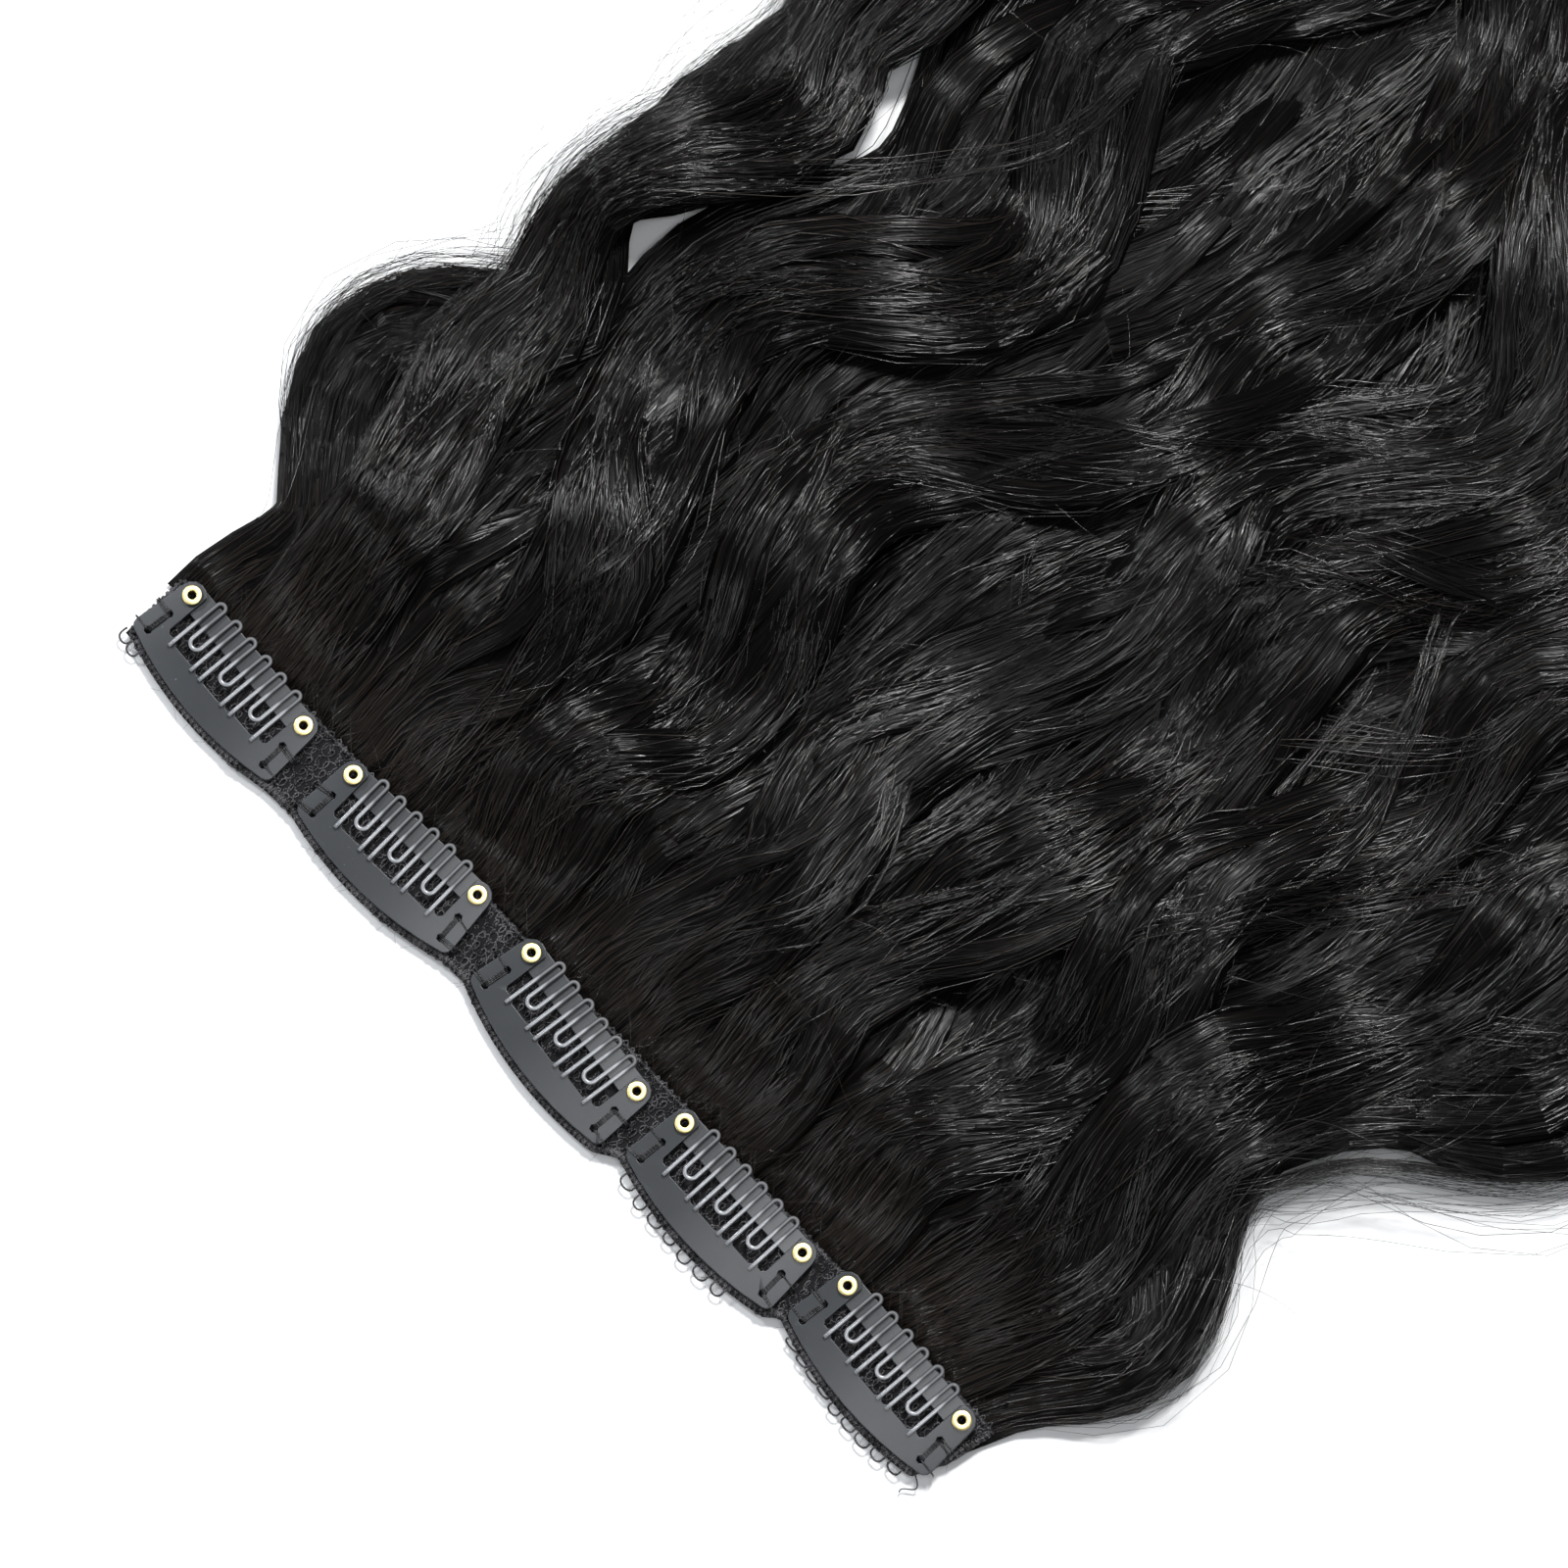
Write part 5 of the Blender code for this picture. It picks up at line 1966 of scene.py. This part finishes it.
    def fringe_piece(self, finish: bpy.types.Material, count: int) -> Piece:
        """Single hairs outside the two side locks: the lock's edge plus a wandering distance.

        Args:
            finish: the piece's material.
            count: how many hairs.

        Returns:
            One piece with every hair.
        """
        rng, hair, sizes = self.rng, self.field, self.strands
        right = rng.random(count) < 0.6
        lock = np.where(right, len(LOCKS) - rng.integers(1, 3, count), rng.integers(0, 2, count))
        lock = lock[:, None]
        way = np.where(right, 1.0, -1.0)[:, None]
        share = np.linspace(0, 1, 40) ** 1.1
        start = rng.uniform(1, 60, (count, 1)) * MM
        y = start + (hair.reach[lock] * rng.uniform(0.85, 1.0, (count, 1)) - start) * share
        width, height = hair.lock_half(lock, y)
        length = rng.uniform(45, 150, (2, count, 1)) * MM
        turn = 2 * math.pi * y / length + rng.uniform(0, 2 * math.pi, (2, count, 1))
        reach = rng.exponential(sizes.fringe_mean, (count, 1))
        away = np.minimum(reach, sizes.fringe_reach) * (1 + 0.8 * np.sin(turn[0]))
        away = away * smoothstep((y - start) / sizes.fringe_ease) - sizes.fringe_inset
        middle = hair.lock_middle(lock, y)
        ahead = hair.lock_middle(lock, y + MM) - hair.lock_middle(lock, y - MM)
        side = unit(np.stack([ahead[..., 1], -ahead[..., 0], np.zeros_like(y)], axis=-1))
        paths = middle + side * (way * (width + away))[..., None]
        rise = rng.uniform(-0.6, 0.7, (count, 1)) * height + 0.8 * MM * np.sin(turn[1])
        low = paths[..., 2] + rise * hair.swell(y)
        paths = np.concatenate([paths[..., :2], np.maximum(low, 0.35 * MM)[..., None]], axis=-1)
        radius = rng.uniform(*sizes.fringe_radii, count)
        shape = self.strand_tubes(paths, radius, 0.4, rng.uniform(0.2, 1, count))
        return Piece("hair_fringe", shape, finish, Slot.HAIR)

    def flyaway_piece(self, finish: bpy.types.Material, count: int) -> Piece:
        """Loose hairs over the mass: a point on a bunch, then an arc of its own heading.

        The arc is x = s cos(h + k s), y = s sin(h + k s) from that point, with a low hump in z.

        Args:
            finish: the piece's material.
            count: how many hairs, before those too far out are dropped.

        Returns:
            One piece with every hair.
        """
        rng, hair = self.rng, self.field
        total = len(hair.bunch_lock)
        bunch = rng.integers(0, total, count)
        y = rng.uniform(12, 250, count) * MM
        base = hair.strand(bunch, y, rng.uniform(-0.8, 0.8, count), np.zeros(count))
        ahead = hair.bunch_middle(bunch, y + MM) - hair.bunch_middle(bunch, y - MM)
        heading = np.arctan2(ahead[:, 1], ahead[:, 0]) + rng.normal(0, 0.5, count)
        length = rng.gamma(3.0, 9.0, count) * MM + 6 * MM
        bend = rng.normal(0, 0.9, count)
        share = np.linspace(0, 1, 22)
        turn = 6.3 * share * rng.uniform(0.5, 1.6, (count, 1)) + rng.uniform(0, 6, (count, 1))
        direction = heading[:, None] + bend[:, None] * share + 0.25 * np.sin(turn)
        step = (length / (len(share) - 1))[:, None]
        x = base[:, :1] + np.cumsum(np.cos(direction) * step, axis=1)
        y_path = base[:, 1:2] + np.cumsum(np.sin(direction) * step, axis=1)
        hump = rng.uniform(0.6, 3.4, (count, 1)) * MM
        surface = hair.sizes.full_heights[1] + hair.sizes.lock_thickness / 2
        level = base[:, 2:] + (surface - base[:, 2:]) * rng.uniform(0.0, 0.9, (count, 1)) * share
        z = level + hump * np.sin(math.pi * share) ** 0.8 - 0.3 * MM
        y_path = np.clip(y_path, 5 * MM, 0.99 * hair.sizes.reach)
        paths = np.stack([x, y_path, np.maximum(z, 0.4 * MM)], axis=-1)
        radius = rng.uniform(*self.strands.flyaway_radii, count)
        tone = rng.uniform(0.3, 1, count)
        room = self.strands.flyaway_room
        low, high = CAD_BOX[0][0] - room, CAD_BOX[1][0] + room
        kept = (x.min(axis=1) > low) & (x.max(axis=1) < high)
        shape = self.strand_tubes(paths[kept], radius[kept], 0.5, tone[kept])
        return Piece("hair_flyaways", shape, finish, Slot.HAIR)

    def fuzz_piece(self, finish: bpy.types.Material, band: LaceBand, count: int) -> Piece:
        """Short hairs that work out of the lace's edges.

        Args:
            finish: the piece's material.
            band: the lace band.
            count: how many hairs.

        Returns:
            One piece with every hair.
        """
        rng, sizes = self.rng, self.strands
        size = self.field.band
        x = rng.uniform(-size.half + 1 * MM, size.half - 1 * MM, count)
        outer = rng.random(count) < 0.16
        y = np.where(outer, band.outer_y(x), size.inner_reach - 1.2 * MM)
        way = np.where(outer, -1.0, 1.0)
        share = np.linspace(0, 1, 8)
        short, long = (rng.uniform(*span, count) for span in (sizes.fuzz_outer, sizes.fuzz_inner))
        length = np.where(outer, short, long)
        lean = rng.normal(0, 0.6, count) * length
        bend = rng.normal(0, 0.35, count) * length
        path_x = x[:, None] + lean[:, None] * share + bend[:, None] * share**2
        path_y = y[:, None] + (way * length)[:, None] * share
        start = np.where(outer, 2.2, 1.6)[:, None] * MM
        rise = rng.uniform(0.2, 1.8, (count, 1)) * MM
        path_z = start + rise * np.sin(2.2 * share)
        paths = np.stack([path_x, path_y, path_z], axis=-1)
        radius = np.where(outer, *sizes.fuzz_radii)
        shape = self.strand_tubes(paths, radius, 0.5, rng.uniform(0.3, 1, count))
        return Piece("hair_fuzz", shape, finish, Slot.HAIR)


# Studio


@dataclass(frozen=True)
class View:
    """The photograph's view: nearly straight down, rolled, through a long lens."""

    roll_deg: float = 46.5
    elevation_deg: float = 82.0
    aim: tuple[float, float, float] = (-3.3 * MM, 46.9 * MM, 4.4 * MM)
    frame_width: float = 238.8 * MM
    distance: float = 1.1
    sensor: float = 36.0

    @property
    def right(self) -> Array:
        """The picture's right, as a direction of the part."""
        roll = math.radians(self.roll_deg)
        return np.array((math.cos(roll), math.sin(roll), 0.0))

    @property
    def up(self) -> Array:
        """The picture's up on the floor, as a direction of the part."""
        roll = math.radians(self.roll_deg)
        return np.array((-math.sin(roll), math.cos(roll), 0.0))

    def build(self) -> bpy.types.Object:
        """Make the camera and give it to the scene.

        Returns:
            The camera.
        """
        lean = math.radians(self.elevation_deg)
        back = Z_AXIS * math.sin(lean) - self.up * math.cos(lean)
        camera_up = self.up * math.sin(lean) + Z_AXIS * math.cos(lean)
        data = bpy.data.cameras.new("camera")
        data.sensor_width = self.sensor
        data.lens = self.sensor * self.distance / self.frame_width
        data.clip_start = 0.05
        camera = bpy.data.objects.new("camera", data)
        place = np.array(self.aim) + back * self.distance
        turn = Matrix([list(column) for column in (self.right, camera_up, back)]).transposed()
        camera.matrix_world = Matrix.Translation(Vector(place)) @ turn.to_4x4()
        bpy.context.scene.collection.objects.link(camera)
        bpy.context.scene.camera = camera
        return camera


@dataclass(frozen=True)
class SoftBox:
    """A square soft light, placed by the picture's right and up, and by its height."""

    name: str
    right: float
    up: float
    height: float
    side: float
    watts: float
    colour: tuple[float, float, float] = (1.0, 1.0, 1.0)

    def build(self, view: View) -> bpy.types.Object:
        """Make the light, turned to the view's aim.

        Args:
            view: whose aim and directions place it.

        Returns:
            The light.
        """
        data = bpy.data.lights.new(self.name, "AREA")
        data.size = self.side
        data.energy = self.watts
        data.color = self.colour
        light = bpy.data.objects.new(self.name, data)
        aim = np.array(view.aim)
        place = aim + view.right * self.right + view.up * self.up + Z_AXIS * self.height
        light.location = Vector(place)
        light.rotation_euler = Vector(aim - place).to_track_quat("-Z", "Y").to_euler()
        bpy.context.scene.collection.objects.link(light)
        return light


@dataclass(frozen=True)
class Studio:
    """Floor, world and soft lights."""

    view: View = View()
    world_colour: tuple[float, float, float, float] = shade(0.93, 0.96, 1.0)
    world_strength: float = 0.10
    floor_half: float = 2.0
    boxes: tuple[SoftBox, ...] = (
        SoftBox("key_light", 0.20, 0.54, 1.10, 0.20, 16.0),
        SoftBox("top_light", 0.13, -0.13, 1.25, 0.40, 4.2, (0.97, 0.98, 1.0)),
        SoftBox("left_light", -0.62, 0.55, 1.00, 0.17, 5.5, (0.95, 0.97, 1.0)),
        SoftBox("side_light", -0.95, -0.30, 0.75, 0.40, 3.0, (0.93, 0.96, 1.0)),
    )

    def build(self) -> None:
        """Make it all and set the plain view transform."""
        bpy.context.scene.view_settings.view_transform = "Standard"
        world = bpy.data.worlds.new("studio")
        world.use_nodes = True
        sky = world.node_tree.nodes["Background"]
        sky.inputs["Color"].default_value = self.world_colour
        sky.inputs["Strength"].default_value = self.world_strength
        bpy.context.scene.world = world
        half = self.floor_half
        corners = [(-half, -half, 0.0), (half, -half, 0.0), (half, half, 0.0), (-half, half, 0.0)]
        mesh = bpy.data.meshes.new("floor")
        mesh.from_pydata([(x, y, -0.05 * MM) for x, y, _ in corners], [], [(0, 1, 2, 3)])
        mesh.materials.append(PaperFinish().build())
        floor = bpy.data.objects.new("floor", mesh)
        bpy.context.scene.collection.objects.link(floor)
        self.view.build()
        for box in self.boxes:
            box.build(self.view)


@dataclass
class Finishes:
    """Every material of the part, made once."""

    wire: bpy.types.Material = field(
        default_factory=lambda: SatinPaint(
            "satin_paint_wire",
            bow_radius=1e6,
            base=shade(0.032, 0.035, 0.040),
            wear_and_highlight_colour=shade(0.30, 0.31, 0.33),
            roughness=0.17,
            ior=1.85,
            # Painted highlight: this share pales the wire's colour over the slots.
            slot_highlight=0.70,
            tip_dulling=0.34,
        ).build()
    )
    brass: bpy.types.Material = field(default_factory=lambda: PaleBrass().build())
    lace: bpy.types.Material = field(
        default_factory=lambda: TwistedThread(
            "lace_thread", shade(0.004, 0.004, 0.005), shade(0.135, 0.130, 0.140), 0.30
        ).build()
    )
    ground: bpy.types.Material = field(
        default_factory=lambda: TwistedThread(
            "lace_ground", shade(0.002, 0.002, 0.003), shade(0.007, 0.007, 0.008), 0.9
        ).build()
    )
    thread: bpy.types.Material = field(
        default_factory=lambda: TwistedThread(
            "sewing_thread", shade(0.006, 0.006, 0.007), shade(0.070, 0.072, 0.075), 0.32
        ).build()
    )
    strands: bpy.types.Material = field(default_factory=lambda: StrandFinish().build())
    mass: bpy.types.Material = field(default_factory=lambda: MassFinish().build())


def main() -> None:
    """Dress the part: clips, lace, hair, then the studio."""
    logging.basicConfig(level=logging.INFO, format="%(message)s")
    clip_rng, lace_rng, hair_rng = (np.random.default_rng((SEED, step)) for step in range(3))
    finishes = Finishes()
    clip_sizes, band_sizes = ClipSizes(), BandSizes()
    numbers = range(1, len(frame["joints"]) + 1)
    clips = [
        Clip(number, clip_sizes, CombSizes(), EyeletSizes(), SewingSizes()) for number in numbers
    ]
    for clip in clips:
        clip.build(finishes, clip_rng)
    lace = LaceBand(band_sizes, clips)
    ground, *trims = lace.build(finishes, lace_rng)
    hair = Hair(HairField(band_sizes, HairSizes(), hair_rng), StrandSizes(), hair_rng)
    backing = hair.build(finishes, lace)
    Studio().build()


if __name__ == "__main__":
    main()
